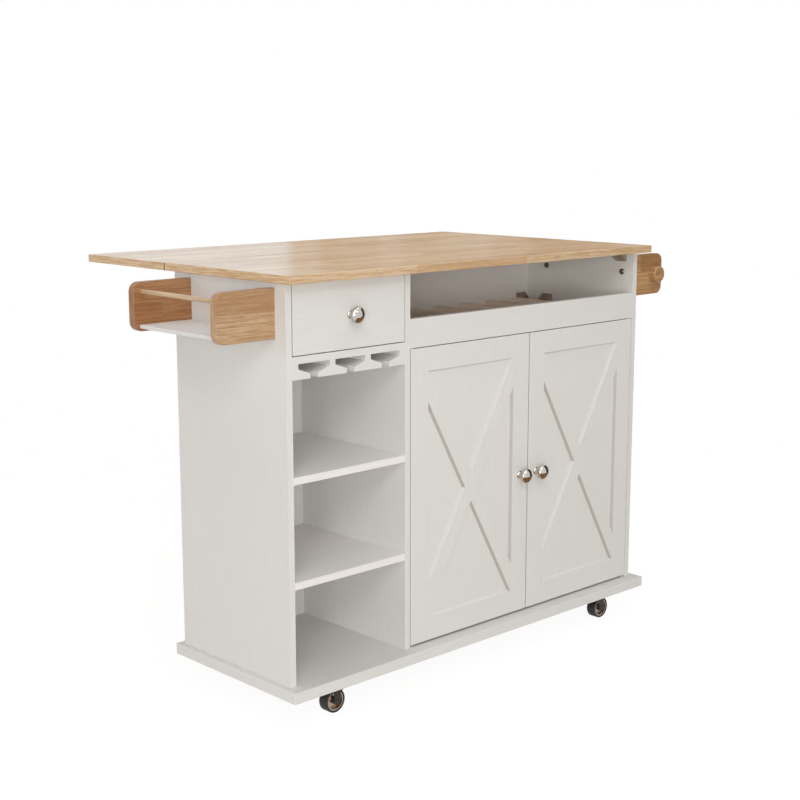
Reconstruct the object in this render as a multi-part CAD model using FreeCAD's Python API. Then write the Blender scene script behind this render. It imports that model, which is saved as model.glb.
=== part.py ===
import FreeCAD, Part
import math
import os

# Drop leaf kitchen island on casters, in millimetres.
# +X runs along the front to the right, +Y to the back, +Z up.
# Sizes are laid out with X = 0 on the cabinet's middle plane, Y = 0 at the worktop's
# front edge and Z = 0 on the floor; export() moves that layout to the part's own
# origin, the middle of the whole island's footprint.

# ---- worktop and leaf ----
TOP_HEIGHT = 925.0
TOP_LENGTH = 1140.0
TOP_DEPTH = 415.5
TOP_THICKNESS = 17.0
LEAF_DEPTH = 298.0
SEAM_GAP = 2.0
TOP_EDGE_ROUND = 1.5

# ---- cabinet ----
TOP_END_OVERHANG = 14.4
TOP_FRONT_OVERHANG = 32.0
TOP_BACK_OVERHANG = 15.5
BOARD = 15.0
BACK_RECESS = 11.0
OPEN_BAY_WIDTH = 306.6
DRAWER_SPACE = 146.3
BAY_RAIL_HEIGHT = 47.3

# ---- base board ----
BASE_THICKNESS = 24.0
BASE_SIDE_LEDGE = 15.5
BASE_FRONT_LEDGE = 32.5
BASE_BACK_LEDGE = 11.0
BASE_EDGE_ROUND = 1.2

# ---- stemware rails under the drawer ----
STEM_SLOTS = 3
STEM_SLOT = 20.0
STEM_END_NECK = 8.4
STEM_NECK_WIDTH = 15.0
STEM_DROP = 31.5
STEM_LIP = 9.8
STEM_RISE = 10.9
STEM_BACK_SPACE = 12.0

# ---- open shelves ----
# The two shelves leave two equal spaces below and one that is a little lower on top.
TOP_SPACE_SHORTER = 6.2

# ---- bottle bars in the right-hand bay ----
BAR_PITCH = 92.0
BAR_FIRST = 53.5
BAR_WIDTH = 28.0
BAR_HEIGHT = 13.0
BAR_EDGE_ROUND = 3.0
BAR_BRACKET_CLEARANCE = 1.0

# ---- doors ----
DOOR_THICKNESS = 15.0
DOOR_SIDE_GAP = 2.1
DOOR_MEETING_GAP = 2.6
DOOR_TOP_GAP = 1.7
DOOR_BOTTOM_GAP = 4.5
DOOR_STILE = 51.7
DOOR_RAIL = 51.7
DOOR_BRACE = 66.8
DOOR_FIELD_DEPTH = 6.2
DOOR_BEVEL = 4.5

# ---- door pivots ----
DOOR_PIN_RADIUS = 2.5
DOOR_PIN_INSET = 6.0
DOOR_PIN_SETBACK = 5.0
DOOR_PIN_REACH = 12.0
DOOR_COLLAR_RADIUS = 4.5
RUNNING_CLEARANCE = 0.08
FIXED_CLEARANCE = 0.05
MOVING_GAP = 0.3

# ---- magnetic catch and strike plates ----
CATCH_LENGTH = 50.0
CATCH_DEPTH = 18.0
CATCH_HEIGHT = 14.0
STRIKE_LENGTH = 20.0
STRIKE_HEIGHT = 12.0
STRIKE_THICKNESS = 1.2

# ---- knobs ----
KNOB_HEAD_RADIUS = 17.2
KNOB_BASE_RADIUS = 8.6
KNOB_NECK_RADIUS = 5.6
KNOB_LENGTH = 33.0
KNOB_CAP = 6.0
KNOB_INSET = 27.5
KNOB_SCREW_RADIUS = 2.0
KNOB_SCREW_HEAD_RADIUS = 4.2
KNOB_SCREW_HEAD = 2.4
KNOB_SCREW_REACH = 9.0

# ---- drawer ----
DRAWER_FRONT_GAP = 2.0
DRAWER_TOP_GAP = 3.0
SLIDE_SPACE = 12.7
DRAWER_BOARD = 12.0
DRAWER_BOX_HEIGHT = 100.0
DRAWER_BOX_LIFT = 8.0
DRAWER_BACK_SPACE = 22.0
DRAWER_BOTTOM = 4.0
DRAWER_BOTTOM_LIFT = 9.0
GROOVE_DEPTH = 5.0
SLIDE_SHORTER = 5.0
SLIDE_HEIGHT = 35.0
SLIDE_BELOW_MIDDLE = 14.0
SLIDE_SIDE_PLAY = 1.0
SLIDE_STEEL = 1.2
SLIDE_LIP_GAP = 2.4

# ---- shelf behind the doors ----
CABINET_SHELF_SETBACK = 55.0
CABINET_SHELF_SIDE_GAP = 1.0
CABINET_SHELF_BACK_GAP = 2.0
SHELF_PIN_RADIUS = 2.5
SHELF_PIN_LENGTH = 17.0
SHELF_PIN_DEPTH = 9.0
SHELF_PIN_INSET = 40.0

# ---- rack plates at both ends ----
PLATE_HEIGHT = 101.0
PLATE_DROP = 11.2
PLATE_THICKNESS = 18.0
PLATE_CORNER = 20.0
PLATE_EDGE_ROUND = 1.5

# ---- spice rack, left end ----
SPICE_REACH = 142.5
SPICE_FRONT_INSET = 32.5
SPICE_BACK_INSET = 40.5
SPICE_SHELF_SETBACK = 13.7
SPICE_SHELF_THICKNESS = 8.0
SPICE_SHELF_LIFT = 6.2
SPICE_ROD_RADIUS = 5.0
SPICE_ROD_INSET = 21.0
SPICE_ROD_DROP = 19.4
SPICE_ROD_SOCKET = 8.0

# ---- towel rail, right end ----
TOWEL_REACH = 135.0
TOWEL_FRONT_INSET = 25.0
TOWEL_BACK_INSET = 81.5
TOWEL_ROD_RADIUS = 11.0
TOWEL_ROD_INSET = 33.6
TOWEL_KNOB_RADIUS = 20.2
TOWEL_KNOB_LENGTH = 20.0
TOWEL_KNOB_ROUND = 3.0
TOWEL_ROD_SPIGOT = 7.0
TOWEL_ROD_SPIGOT_LENGTH = 12.0
TOWEL_KNOB_SPIGOT_LENGTH = 6.0

# ---- rack bolts ----
RACK_BOLT_DROP = 38.2
RACK_BOLT_RADIUS = 3.0
RACK_BOLT_HEAD_RADIUS = 7.2
RACK_BOLT_HEAD = 4.2
RACK_BOLT_REACH = 26.0
RACK_BOLT_SOCKET_RADIUS = 2.5
RACK_BOLT_SOCKET_DEPTH = 2.0

# ---- corner brackets ----
BRACKET_WIDTH = 32.0
BRACKET_LEG = 24.0
BRACKET_WALL = 2.5
BRACKET_FRONT_INSET = 37.0
BRACKET_BACK_INSET = 68.0
BRACKET_END_INSET = 28.6

# ---- leaf hinges ----
HINGE_END_INSET = 140.0
HINGE_LENGTH = 60.0
HINGE_KNUCKLES = 5
HINGE_BACK_CLEARANCE = 1.75
HINGE_PLATE_GAP = 0.4
HINGE_STEEL = 1.6
HINGE_KNUCKLE_RADIUS = 2.9
HINGE_AXIS_DROP = 3.0
HINGE_PIN_RADIUS = 1.5
HINGE_PIN_HEAD = 1.0
HINGE_PIN_HEAD_RADIUS = 2.4
KNUCKLE_GAP = 0.3

# ---- folding leaf brackets ----
STAY_END_INSET = 285.0
STAY_STEEL = 2.0
STAY_LINE = 11.0
STRUT_ANGLE = 45.0
STRUT_THICKNESS = 2.5
STRUT_WIDTH = 12.0
STAY_FLANGE = 22.0
STAY_WALL_TOP = 12.0
STAY_WALL_TAIL = 24.0
STAY_ARM_START = 16.0
STAY_ARM_MARGIN = 15.5
STAY_SLOT_WIDTH = 5.0
STAY_SLOT_END_WALL = 16.43
RIVET_RADIUS = 2.5
RIVET_HEAD_RADIUS = 4.5
RIVET_HEAD = 1.3

# ---- small screws ----
SCREW_RADIUS = 1.75
SCREW_HEAD_RADIUS = 3.5
SCREW_HEAD = 1.8
SCREW_REACH = 11.0

# ---- casters ----
CASTER_INSET_X = 143.0
CASTER_INSET_Y = 38.5
CASTER_TRAIL = 12.0
WHEEL_RADIUS = 26.0
WHEEL_WIDTH = 25.0
TREAD_DEPTH = 4.6
TREAD_ROUND = 2.5
HUB_RADIUS = 7.0
WEB_THICKNESS = 6.0
RIM_WALL = 2.6
AXLE_RADIUS = 3.0
AXLE_HEAD_RADIUS = 5.0
AXLE_HEAD = 1.6
FORK_STEEL = 2.0
FORK_SIDE_GAP = 0.9
FORK_CLEARANCE = 1.5
FORK_BACK = 15.0
FORK_FRONT = 17.0
RACE_HEIGHT = 2.7
CASTER_PLATE = 2.0
CASTER_PLATE_LENGTH = 56.0
CASTER_PLATE_WIDTH = 44.0
CASTER_PLATE_CORNER = 5.0
CASTER_SCREW_PITCH_X = 42.0
CASTER_SCREW_PITCH_Y = 30.0
RACE_RADIUS = 15.5
KINGPIN_RADIUS = 4.0

# ---- positions that follow from the sizes above ----
HALF_TOP = TOP_LENGTH / 2
HALF_CABINET = HALF_TOP - TOP_END_OVERHANG
TOP_UNDERSIDE = TOP_HEIGHT - TOP_THICKNESS
FORK_UNDERSIDE = 2 * WHEEL_RADIUS + FORK_CLEARANCE
FORK_CROWN_Z = FORK_UNDERSIDE + FORK_STEEL
RACE_Z = FORK_CROWN_Z + RACE_HEIGHT
CASTER_PLATE_Z = RACE_Z + MOVING_GAP
BASE_UNDERSIDE = CASTER_PLATE_Z + CASTER_PLATE
FRONT_Y = TOP_FRONT_OVERHANG
REAR_Y = TOP_DEPTH - TOP_BACK_OVERHANG
BACK_OUTER_Y = REAR_Y - BACK_RECESS
BACK_INNER_Y = BACK_OUTER_Y - BOARD
LEAF_Y = TOP_DEPTH + SEAM_GAP
LEAF_EDGE_Y = LEAF_Y + LEAF_DEPTH
FLOOR_Z = BASE_UNDERSIDE + BASE_THICKNESS
DECK_Z = TOP_UNDERSIDE - DRAWER_SPACE
DECK_UNDERSIDE = DECK_Z - BOARD
LEFT_WALL_X = -HALF_CABINET + BOARD
RIGHT_WALL_X = HALF_CABINET - BOARD
DIVIDER_LEFT_X = LEFT_WALL_X + OPEN_BAY_WIDTH
DIVIDER_RIGHT_X = DIVIDER_LEFT_X + BOARD
OPEN_BAY_MIDDLE_X = (LEFT_WALL_X + DIVIDER_LEFT_X) / 2
STEM_PITCH = (OPEN_BAY_WIDTH - 2 * STEM_END_NECK) / STEM_SLOTS
STEM_RAIL_Z = DECK_UNDERSIDE - STEM_DROP
STEM_RAIL_LENGTH = BACK_INNER_Y - STEM_BACK_SPACE - FRONT_Y
SHELF_CLEAR = (STEM_RAIL_Z - FLOOR_Z - 2 * BOARD + TOP_SPACE_SHORTER) / 3
LOWER_SHELF_Z = FLOOR_Z + SHELF_CLEAR
UPPER_SHELF_Z = LOWER_SHELF_Z + BOARD + SHELF_CLEAR
BAR_END_SPACE = BRACKET_END_INSET + (BRACKET_WIDTH + BAR_WIDTH) / 2 + BAR_BRACKET_CLEARANCE
BAR_RUN = RIGHT_WALL_X - DIVIDER_RIGHT_X - BAR_FIRST - BAR_END_SPACE
BAR_COUNT = int(BAR_RUN / BAR_PITCH) + 1
DOOR_WIDTH = (RIGHT_WALL_X - DIVIDER_RIGHT_X - 2 * DOOR_SIDE_GAP - DOOR_MEETING_GAP) / 2
DOOR_BOTTOM_Z = FLOOR_Z + DOOR_BOTTOM_GAP
DOOR_TOP_Z = DECK_UNDERSIDE - DOOR_TOP_GAP
DOOR_MIDDLE_Z = (DOOR_BOTTOM_Z + DOOR_TOP_Z) / 2
LEFT_DOOR_X = DIVIDER_RIGHT_X + DOOR_SIDE_GAP
RIGHT_DOOR_X = LEFT_DOOR_X + DOOR_WIDTH + DOOR_MEETING_GAP
DOOR_MEETING_X = RIGHT_DOOR_X - DOOR_MEETING_GAP / 2
DRAWER_FRONT_LEFT_X = LEFT_WALL_X + DRAWER_FRONT_GAP
DRAWER_FRONT_RIGHT_X = DIVIDER_LEFT_X - DRAWER_FRONT_GAP
DRAWER_FRONT_BOTTOM_Z = DECK_Z + DRAWER_FRONT_GAP
DRAWER_FRONT_TOP_Z = TOP_UNDERSIDE - DRAWER_TOP_GAP
DRAWER_FRONT_MIDDLE_Z = (DRAWER_FRONT_BOTTOM_Z + DRAWER_FRONT_TOP_Z) / 2
DRAWER_BOX_Z = DECK_Z + DRAWER_BOX_LIFT
DRAWER_BOX_FRONT_Y = FRONT_Y + BOARD
DRAWER_BOX_LEFT_X = LEFT_WALL_X + SLIDE_SPACE
DRAWER_BOX_RIGHT_X = DIVIDER_LEFT_X - SLIDE_SPACE
DRAWER_BOX_DEPTH = BACK_INNER_Y - DRAWER_BACK_SPACE - DRAWER_BOX_FRONT_Y
SLIDE_LENGTH = DRAWER_BOX_DEPTH - SLIDE_SHORTER
SLIDE_MIDDLE_Z = DRAWER_BOX_Z + DRAWER_BOX_HEIGHT / 2 - SLIDE_BELOW_MIDDLE
SLIDE_REACH = SLIDE_SPACE - SLIDE_STEEL - SLIDE_SIDE_PLAY
PLATE_TOP_Z = TOP_UNDERSIDE - PLATE_DROP
PLATE_BOTTOM_Z = PLATE_TOP_Z - PLATE_HEIGHT
RACK_BOLT_Z = PLATE_TOP_Z - RACK_BOLT_DROP
SPICE_FRONT_Y = FRONT_Y + SPICE_FRONT_INSET
SPICE_BACK_Y = REAR_Y - SPICE_BACK_INSET - PLATE_THICKNESS
TOWEL_FRONT_Y = FRONT_Y + TOWEL_FRONT_INSET
TOWEL_BACK_Y = REAR_Y - TOWEL_BACK_INSET - PLATE_THICKNESS
BRACKET_FRONT_Y = FRONT_Y + BRACKET_FRONT_INSET
BRACKET_BACK_Y = BACK_INNER_Y - BRACKET_BACK_INSET
SPICE_OUTER_X = -HALF_CABINET - SPICE_REACH
TOWEL_OUTER_X = HALF_CABINET + TOWEL_REACH
SPICE_ROD_X = SPICE_OUTER_X + SPICE_ROD_INSET
SPICE_ROD_Z = PLATE_TOP_Z - SPICE_ROD_DROP
SPICE_SHELF_Z = PLATE_BOTTOM_Z + SPICE_SHELF_LIFT
TOWEL_ROD_X = TOWEL_OUTER_X - TOWEL_ROD_INSET
TOWEL_ROD_Z = (PLATE_TOP_Z + PLATE_BOTTOM_Z) / 2
CABINET_SHELF_Z = (FLOOR_Z + DECK_UNDERSIDE - BOARD) / 2
HINGE_POSITIONS = (HINGE_END_INSET - HALF_TOP, 0.0, HALF_TOP - HINGE_END_INSET)
HINGE_Y = TOP_DEPTH + SEAM_GAP / 2
HINGE_Z = TOP_UNDERSIDE - HINGE_AXIS_DROP
HINGE_LEAF_WIDTH = HINGE_Y - BACK_OUTER_Y - HINGE_BACK_CLEARANCE
STAY_POSITIONS = (STAY_END_INSET - HALF_TOP, HALF_TOP - STAY_END_INSET)
STAY_ARM_Y = LEAF_Y + STAY_ARM_START
STAY_ARM_END_Y = LEAF_EDGE_Y - STAY_ARM_MARGIN
STAY_ARM_LENGTH = STAY_ARM_END_Y - STAY_ARM_Y
# The slot ends where the folded strut's end stands, so the arm's reach sets the strut.
SLOT_REACH = STAY_ARM_END_Y - STAY_SLOT_END_WALL - HINGE_Y
STRUT_LENGTH = (SLOT_REACH - STAY_LINE) / (1.0 + math.cos(math.radians(STRUT_ANGLE)))
STRUT_RUN = STRUT_LENGTH * math.sin(math.radians(STRUT_ANGLE))
STRUT_RISE = STRUT_LENGTH * math.cos(math.radians(STRUT_ANGLE))
STRUT_Y = HINGE_Y - STAY_LINE
STRUT_Z = HINGE_Z - STAY_LINE - STRUT_RISE
BASE_FRONT_Y = FRONT_Y - BASE_FRONT_LEDGE
BASE_REAR_Y = REAR_Y + BASE_BACK_LEDGE
HALF_BASE = HALF_CABINET + BASE_SIDE_LEDGE
CASTER_X = HALF_BASE - CASTER_INSET_X
CASTER_FRONT_Y = BASE_FRONT_Y + CASTER_INSET_Y
CASTER_REAR_Y = BASE_REAR_Y - CASTER_INSET_Y
FRONTMOST_Y = min(FRONT_Y - KNOB_LENGTH, BASE_FRONT_Y)
ORIGIN = FreeCAD.Vector(
    (SPICE_OUTER_X + TOWEL_OUTER_X) / 2,
    (FRONTMOST_Y + LEAF_EDGE_Y) / 2,
    0.0,
)

X_AXIS = FreeCAD.Vector(1, 0, 0)
Y_AXIS = FreeCAD.Vector(0, 1, 0)
Z_AXIS = FreeCAD.Vector(0, 0, 1)


# ---- shape helpers ----

def box(x0, x1, y0, y1, z0, z1):
    """Return the block between two corners."""
    return Part.makeBox(x1 - x0, y1 - y0, z1 - z0, FreeCAD.Vector(x0, y0, z0))


def rod(x, y, z, radius, length, axis):
    """Return a cylinder that starts at a point and runs along an axis."""
    return Part.makeCylinder(radius, length, FreeCAD.Vector(x, y, z), axis)


def polygon_face(points):
    """Return the flat face inside a closed run of points."""
    return Part.Face(Part.makePolygon(list(points) + [points[0]]))


def prism(points, sweep):
    """Return the solid a flat outline leaves when it moves along a vector."""
    return polygon_face(points).extrude(sweep)


def rounded(shape, edges, radius):
    """Return a shape with some of its edges rounded."""
    return shape.makeFillet(radius, edges)


def edges_along(shape, axis):
    """Return the straight edges of a shape that run along an axis."""
    chosen = []
    for edge in shape.Edges:
        if len(edge.Vertexes) != 2:
            continue
        run = edge.Vertexes[1].Point - edge.Vertexes[0].Point
        if abs(abs(run.dot(axis)) - run.Length) < 1e-6:
            chosen.append(edge)
    return chosen


def turned(profile, base, axis):
    """Return the solid turned from (radius, height) pairs; a triple ends an arc.

    An arc entry is (radius, height, (mid radius, mid height)).
    """
    segments = []
    here = FreeCAD.Vector(profile[0][0], 0, profile[0][1])
    for entry in profile[1:]:
        there = FreeCAD.Vector(entry[0], 0, entry[1])
        if len(entry) == 3:
            through = FreeCAD.Vector(entry[2][0], 0, entry[2][1])
            segments.append(Part.Arc(here, through, there).toShape())
        else:
            segments.append(Part.makeLine(here, there))
        here = there
    segments.append(Part.makeLine(here, FreeCAD.Vector(profile[0][0], 0, profile[0][1])))
    face = Part.Face(Part.Wire(segments))
    solid = face.revolve(FreeCAD.Vector(0, 0, 0), Z_AXIS, 360)
    turn = FreeCAD.Rotation(Z_AXIS, axis)
    solid.Placement = FreeCAD.Placement(base, turn)
    return solid


def board_rounded(shape, radius):
    """Return a board with every edge rounded."""
    return rounded(shape, shape.Edges, radius)


def export(name, shapes):
    """Write one or several solids as one STEP file in the part's own frame."""
    solids = shapes if isinstance(shapes, list) else [shapes]
    moved = []
    for solid in solids:
        copy = solid.copy()
        copy.translate(-ORIGIN)
        moved.append(copy)
    whole = moved[0] if len(moved) == 1 else Part.makeCompound(moved)
    whole.exportStep(os.path.join("parts", name + ".step"))


# ---- screws ----

def screw(x, y, z, axis):
    """Return a pan-head screw whose head stands out against axis; axis points into the board."""
    profile = [
        (0.0, -SCREW_HEAD),
        (SCREW_HEAD_RADIUS * 0.7, -SCREW_HEAD),
        (SCREW_HEAD_RADIUS, -SCREW_HEAD * 0.4),
        (SCREW_HEAD_RADIUS, 0.0),
        (SCREW_RADIUS, 0.0),
        (SCREW_RADIUS, SCREW_REACH - SCREW_RADIUS),
        (0.0, SCREW_REACH),
    ]
    return turned(profile, FreeCAD.Vector(x, y, z), axis)


def screw_hole(x, y, z, axis):
    """Return the hole cut for a screw, from just outside its seat."""
    start = FreeCAD.Vector(x, y, z) - axis * 1.0
    length = SCREW_REACH + 1.5
    return Part.makeCylinder(SCREW_RADIUS + FIXED_CLEARANCE, length, start, axis)


def caster_places():
    """Return (x, y, side) for the four casters; side is -1 at the left end."""
    places = []
    for y in (CASTER_FRONT_Y, CASTER_REAR_Y):
        for side in (-1, 1):
            places.append((side * CASTER_X, y, side))
    return places


def caster_screw_spots():
    """Return the middles of the caster plates' screws, on the plates' undersides."""
    spots = []
    for x, y, _ in caster_places():
        for dx in (-CASTER_SCREW_PITCH_X / 2, CASTER_SCREW_PITCH_X / 2):
            for dy in (-CASTER_SCREW_PITCH_Y / 2, CASTER_SCREW_PITCH_Y / 2):
                spots.append((x + dx, y + dy, CASTER_PLATE_Z))
    return spots


def hinge_screw_spots(side):
    """Return the hinge plates' screw middles; side -1 is the worktop, +1 the leaf."""
    spots = []
    for middle in HINGE_POSITIONS:
        for dx in (-HINGE_LENGTH / 3, HINGE_LENGTH / 3):
            y = HINGE_Y + side * HINGE_LEAF_WIDTH * 0.62
            spots.append((middle + dx, y, TOP_UNDERSIDE - HINGE_STEEL))
    return spots


def stay_flange_middle(middle):
    """Return the X of the middle of a folding bracket's screw flanges."""
    return middle - STAY_FLANGE / 2


def stay_wall_screw_spots():
    """Return the screw middles on the wall plates of the folding brackets."""
    spots = []
    low = STRUT_Z - STAY_WALL_TAIL
    high = HINGE_Z - STAY_WALL_TOP
    for middle in STAY_POSITIONS:
        for share in (0.16, 0.84):
            z = low + (high - low) * share
            spots.append((stay_flange_middle(middle), BACK_OUTER_Y + STAY_STEEL, z))
    return spots


def stay_arm_screw_spots():
    """Return the screw middles on the arms of the folding brackets."""
    spots = []
    for middle in STAY_POSITIONS:
        for share in (0.14, 0.86):
            y = STAY_ARM_Y + STAY_ARM_LENGTH * share
            spots.append((stay_flange_middle(middle), y, TOP_UNDERSIDE - STAY_STEEL))
    return spots


def cut_screw_holes(shape, spots, axis):
    """Return a shape with the holes of a set of screws cut."""
    return shape.cut([screw_hole(x, y, z, axis) for x, y, z in spots])


# ---- boards of the cabinet ----

def make_base_board():
    board = box(-HALF_BASE, HALF_BASE, BASE_FRONT_Y, BASE_REAR_Y, BASE_UNDERSIDE, FLOOR_Z)
    board = board_rounded(board, BASE_EDGE_ROUND)
    holes = [screw_hole(x, y, z, Z_AXIS) for x, y, z in caster_screw_spots()]
    for x in door_pin_places():
        start = FLOOR_Z - DOOR_PIN_REACH
        holes.append(door_pin_bore(x, start, DOOR_PIN_REACH + 1.0, FIXED_CLEARANCE))
    return board.cut(holes)


def rack_bolt_places():
    """Return (y, side) for the rack bolts; side -1 is the spice rack's end."""
    half = PLATE_THICKNESS / 2
    return [
        (SPICE_FRONT_Y + half, -1),
        (SPICE_BACK_Y + half, -1),
        (TOWEL_FRONT_Y + half, 1),
        (TOWEL_BACK_Y + half, 1),
    ]


def rack_bolt_hole(y, side):
    """Return the hole a rack bolt fills, from inside the cabinet outwards."""
    x = side * (HALF_CABINET - BOARD - 1.0)
    length = RACK_BOLT_REACH + 2.0
    return rod(x, y, RACK_BOLT_Z, RACK_BOLT_RADIUS + FIXED_CLEARANCE, length, X_AXIS * side)


def shelf_pin_places(wall_x):
    """Return the (x, y) middles of the shelf pins on one wall."""
    front = FRONT_Y + CABINET_SHELF_SETBACK + SHELF_PIN_INSET
    rear = BACK_INNER_Y - CABINET_SHELF_BACK_GAP - SHELF_PIN_INSET
    return [(wall_x, front), (wall_x, rear)]


def shelf_pin_hole(x, y, direction):
    """Return the socket of a shelf pin; direction points into the wall."""
    z = CABINET_SHELF_Z - SHELF_PIN_RADIUS
    start = x - direction * 1.0
    length = SHELF_PIN_DEPTH + 1.2
    return rod(start, y, z, SHELF_PIN_RADIUS + FIXED_CLEARANCE, length, X_AXIS * direction)


def make_side_panel(side):
    inner = side * (HALF_CABINET - BOARD)
    outer = side * HALF_CABINET
    panel = box(min(inner, outer), max(inner, outer), FRONT_Y, REAR_Y, FLOOR_Z, TOP_UNDERSIDE)
    holes = [rack_bolt_hole(y, s) for y, s in rack_bolt_places() if s == side]
    if side > 0:
        for x, y in shelf_pin_places(RIGHT_WALL_X):
            holes.append(shelf_pin_hole(x, y, 1))
    return panel.cut(holes)


def make_divider():
    panel = box(DIVIDER_LEFT_X, DIVIDER_RIGHT_X, FRONT_Y, BACK_INNER_Y, FLOOR_Z, TOP_UNDERSIDE)
    holes = [shelf_pin_hole(x, y, -1) for x, y in shelf_pin_places(DIVIDER_RIGHT_X)]
    return panel.cut(holes)


def make_back_panel():
    panel = box(LEFT_WALL_X, RIGHT_WALL_X, BACK_INNER_Y, BACK_OUTER_Y, FLOOR_Z, TOP_UNDERSIDE)
    return cut_screw_holes(panel, stay_wall_screw_spots(), -Y_AXIS)


def make_drawer_deck():
    return box(LEFT_WALL_X, DIVIDER_LEFT_X, FRONT_Y, BACK_INNER_Y, DECK_UNDERSIDE, DECK_Z)


def make_bay_deck():
    deck = box(DIVIDER_RIGHT_X, RIGHT_WALL_X, FRONT_Y, BACK_INNER_Y, DECK_UNDERSIDE, DECK_Z)
    bores = []
    for x in door_pin_places():
        start = DECK_UNDERSIDE - 1.0
        bores.append(door_pin_bore(x, start, DOOR_PIN_REACH + 1.0, FIXED_CLEARANCE))
    return deck.cut(bores)


def make_bay_rail():
    rail = box(
        DIVIDER_RIGHT_X, RIGHT_WALL_X,
        FRONT_Y, FRONT_Y + BOARD,
        DECK_Z, DECK_Z + BAY_RAIL_HEIGHT,
    )
    return rail


def make_bottle_bars():
    bars = []
    for index in range(BAR_COUNT):
        middle = DIVIDER_RIGHT_X + BAR_FIRST + index * BAR_PITCH
        bar = box(
            middle - BAR_WIDTH / 2, middle + BAR_WIDTH / 2,
            FRONT_Y + BOARD, BACK_INNER_Y,
            DECK_Z, DECK_Z + BAR_HEIGHT,
        )
        tops = [e for e in edges_along(bar, Y_AXIS) if e.Vertexes[0].Z > DECK_Z + 1.0]
        bars.append(rounded(bar, tops, BAR_EDGE_ROUND))
    return bars


def stem_rail(outline, middle):
    """Return the stemware rail with an outline of (x, z) pairs about its middle."""
    points = [FreeCAD.Vector(middle + x, FRONT_Y, z) for x, z in outline]
    return prism(points, Y_AXIS * STEM_RAIL_LENGTH)


def make_stemware_rails():
    half_neck = STEM_NECK_WIDTH / 2
    half_flange = (STEM_PITCH - STEM_SLOT) / 2
    bottom = STEM_RAIL_Z
    lip = bottom + STEM_LIP
    neck = lip + STEM_RISE
    right_half = [
        (half_flange, bottom), (half_flange, lip), (half_neck, neck),
        (half_neck, DECK_UNDERSIDE),
    ]
    left_half = [(-x, z) for x, z in reversed(right_half)]
    end = STEM_END_NECK
    left_end = right_half + [(-end, DECK_UNDERSIDE), (-end, bottom)]
    right_end = left_half + [(end, bottom), (end, DECK_UNDERSIDE)]
    first = LEFT_WALL_X + STEM_END_NECK
    rails = [stem_rail(left_end, first)]
    for index in range(1, STEM_SLOTS):
        rails.append(stem_rail(right_half + left_half, first + index * STEM_PITCH))
    rails.append(stem_rail(right_end, DIVIDER_LEFT_X - STEM_END_NECK))
    return rails


def make_open_shelves():
    shelves = []
    for z in (LOWER_SHELF_Z, UPPER_SHELF_Z):
        shelves.append(box(LEFT_WALL_X, DIVIDER_LEFT_X, FRONT_Y, BACK_INNER_Y, z, z + BOARD))
    return shelves


def make_cabinet_shelf():
    return box(
        DIVIDER_RIGHT_X + CABINET_SHELF_SIDE_GAP, RIGHT_WALL_X - CABINET_SHELF_SIDE_GAP,
        FRONT_Y + CABINET_SHELF_SETBACK, BACK_INNER_Y - CABINET_SHELF_BACK_GAP,
        CABINET_SHELF_Z, CABINET_SHELF_Z + BOARD,
    )


def make_shelf_pins():
    pins = []
    z = CABINET_SHELF_Z - SHELF_PIN_RADIUS
    for x, y in shelf_pin_places(DIVIDER_RIGHT_X):
        pins.append(rod(x - SHELF_PIN_DEPTH, y, z, SHELF_PIN_RADIUS, SHELF_PIN_LENGTH, X_AXIS))
    for x, y in shelf_pin_places(RIGHT_WALL_X):
        pins.append(rod(x + SHELF_PIN_DEPTH, y, z, SHELF_PIN_RADIUS, SHELF_PIN_LENGTH, -X_AXIS))
    return pins


# ---- doors ----

def inset_outline(points, distance):
    """Return a convex outline in the XZ plane moved inwards by a distance."""
    count = len(points)
    middle_x = sum(p[0] for p in points) / count
    middle_z = sum(p[1] for p in points) / count
    lines = []
    for index in range(count):
        ax, az = points[index]
        bx, bz = points[(index + 1) % count]
        length = math.hypot(bx - ax, bz - az)
        nx = -(bz - az) / length
        nz = (bx - ax) / length
        if nx * (middle_x - ax) + nz * (middle_z - az) < 0:
            nx, nz = -nx, -nz
        lines.append((nx, nz, nx * ax + nz * az + distance))
    inner = []
    for index in range(count):
        a1, b1, c1 = lines[index - 1]
        a2, b2, c2 = lines[index]
        det = a1 * b2 - a2 * b1
        inner.append(((c1 * b2 - c2 * b1) / det, (a1 * c2 - a2 * c1) / det))
    return inner


def field_cutter(points, face_y):
    """Return the bevelled pocket of one triangular field of a door."""
    wires = []
    for outline, y in (
        (inset_outline(points, -DOOR_BEVEL / DOOR_FIELD_DEPTH), face_y - 1.0),
        (inset_outline(points, DOOR_BEVEL), face_y + DOOR_FIELD_DEPTH),
    ):
        corners = [FreeCAD.Vector(x, y, z) for x, z in outline]
        wires.append(Part.makePolygon(corners + [corners[0]]))
    return Part.makeLoft(wires, True, True)


def door_fields(left_x):
    """Return the four triangles between a door's frame and its crossed braces."""
    x0 = left_x + DOOR_STILE
    x1 = left_x + DOOR_WIDTH - DOOR_STILE
    z0 = DOOR_BOTTOM_Z + DOOR_RAIL
    z1 = DOOR_TOP_Z - DOOR_RAIL
    xm = (x0 + x1) / 2
    zm = (z0 + z1) / 2
    half = DOOR_BRACE / 2
    side = half * (x1 - x0) / (z1 - z0 - DOOR_BRACE)
    return [
        [(x0, z1), (x1, z1), (xm, zm + half)],
        [(x0, z0), (x1, z0), (xm, zm - half)],
        [(x0, z0 + DOOR_BRACE), (x0, z1 - DOOR_BRACE), (xm - side, zm)],
        [(x1, z0 + DOOR_BRACE), (x1, z1 - DOOR_BRACE), (xm + side, zm)],
    ]


def door_pin_places():
    """Return the X of the left and the right door's pivot axis."""
    return [LEFT_DOOR_X + DOOR_PIN_INSET, RIGHT_DOOR_X + DOOR_WIDTH - DOOR_PIN_INSET]


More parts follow.
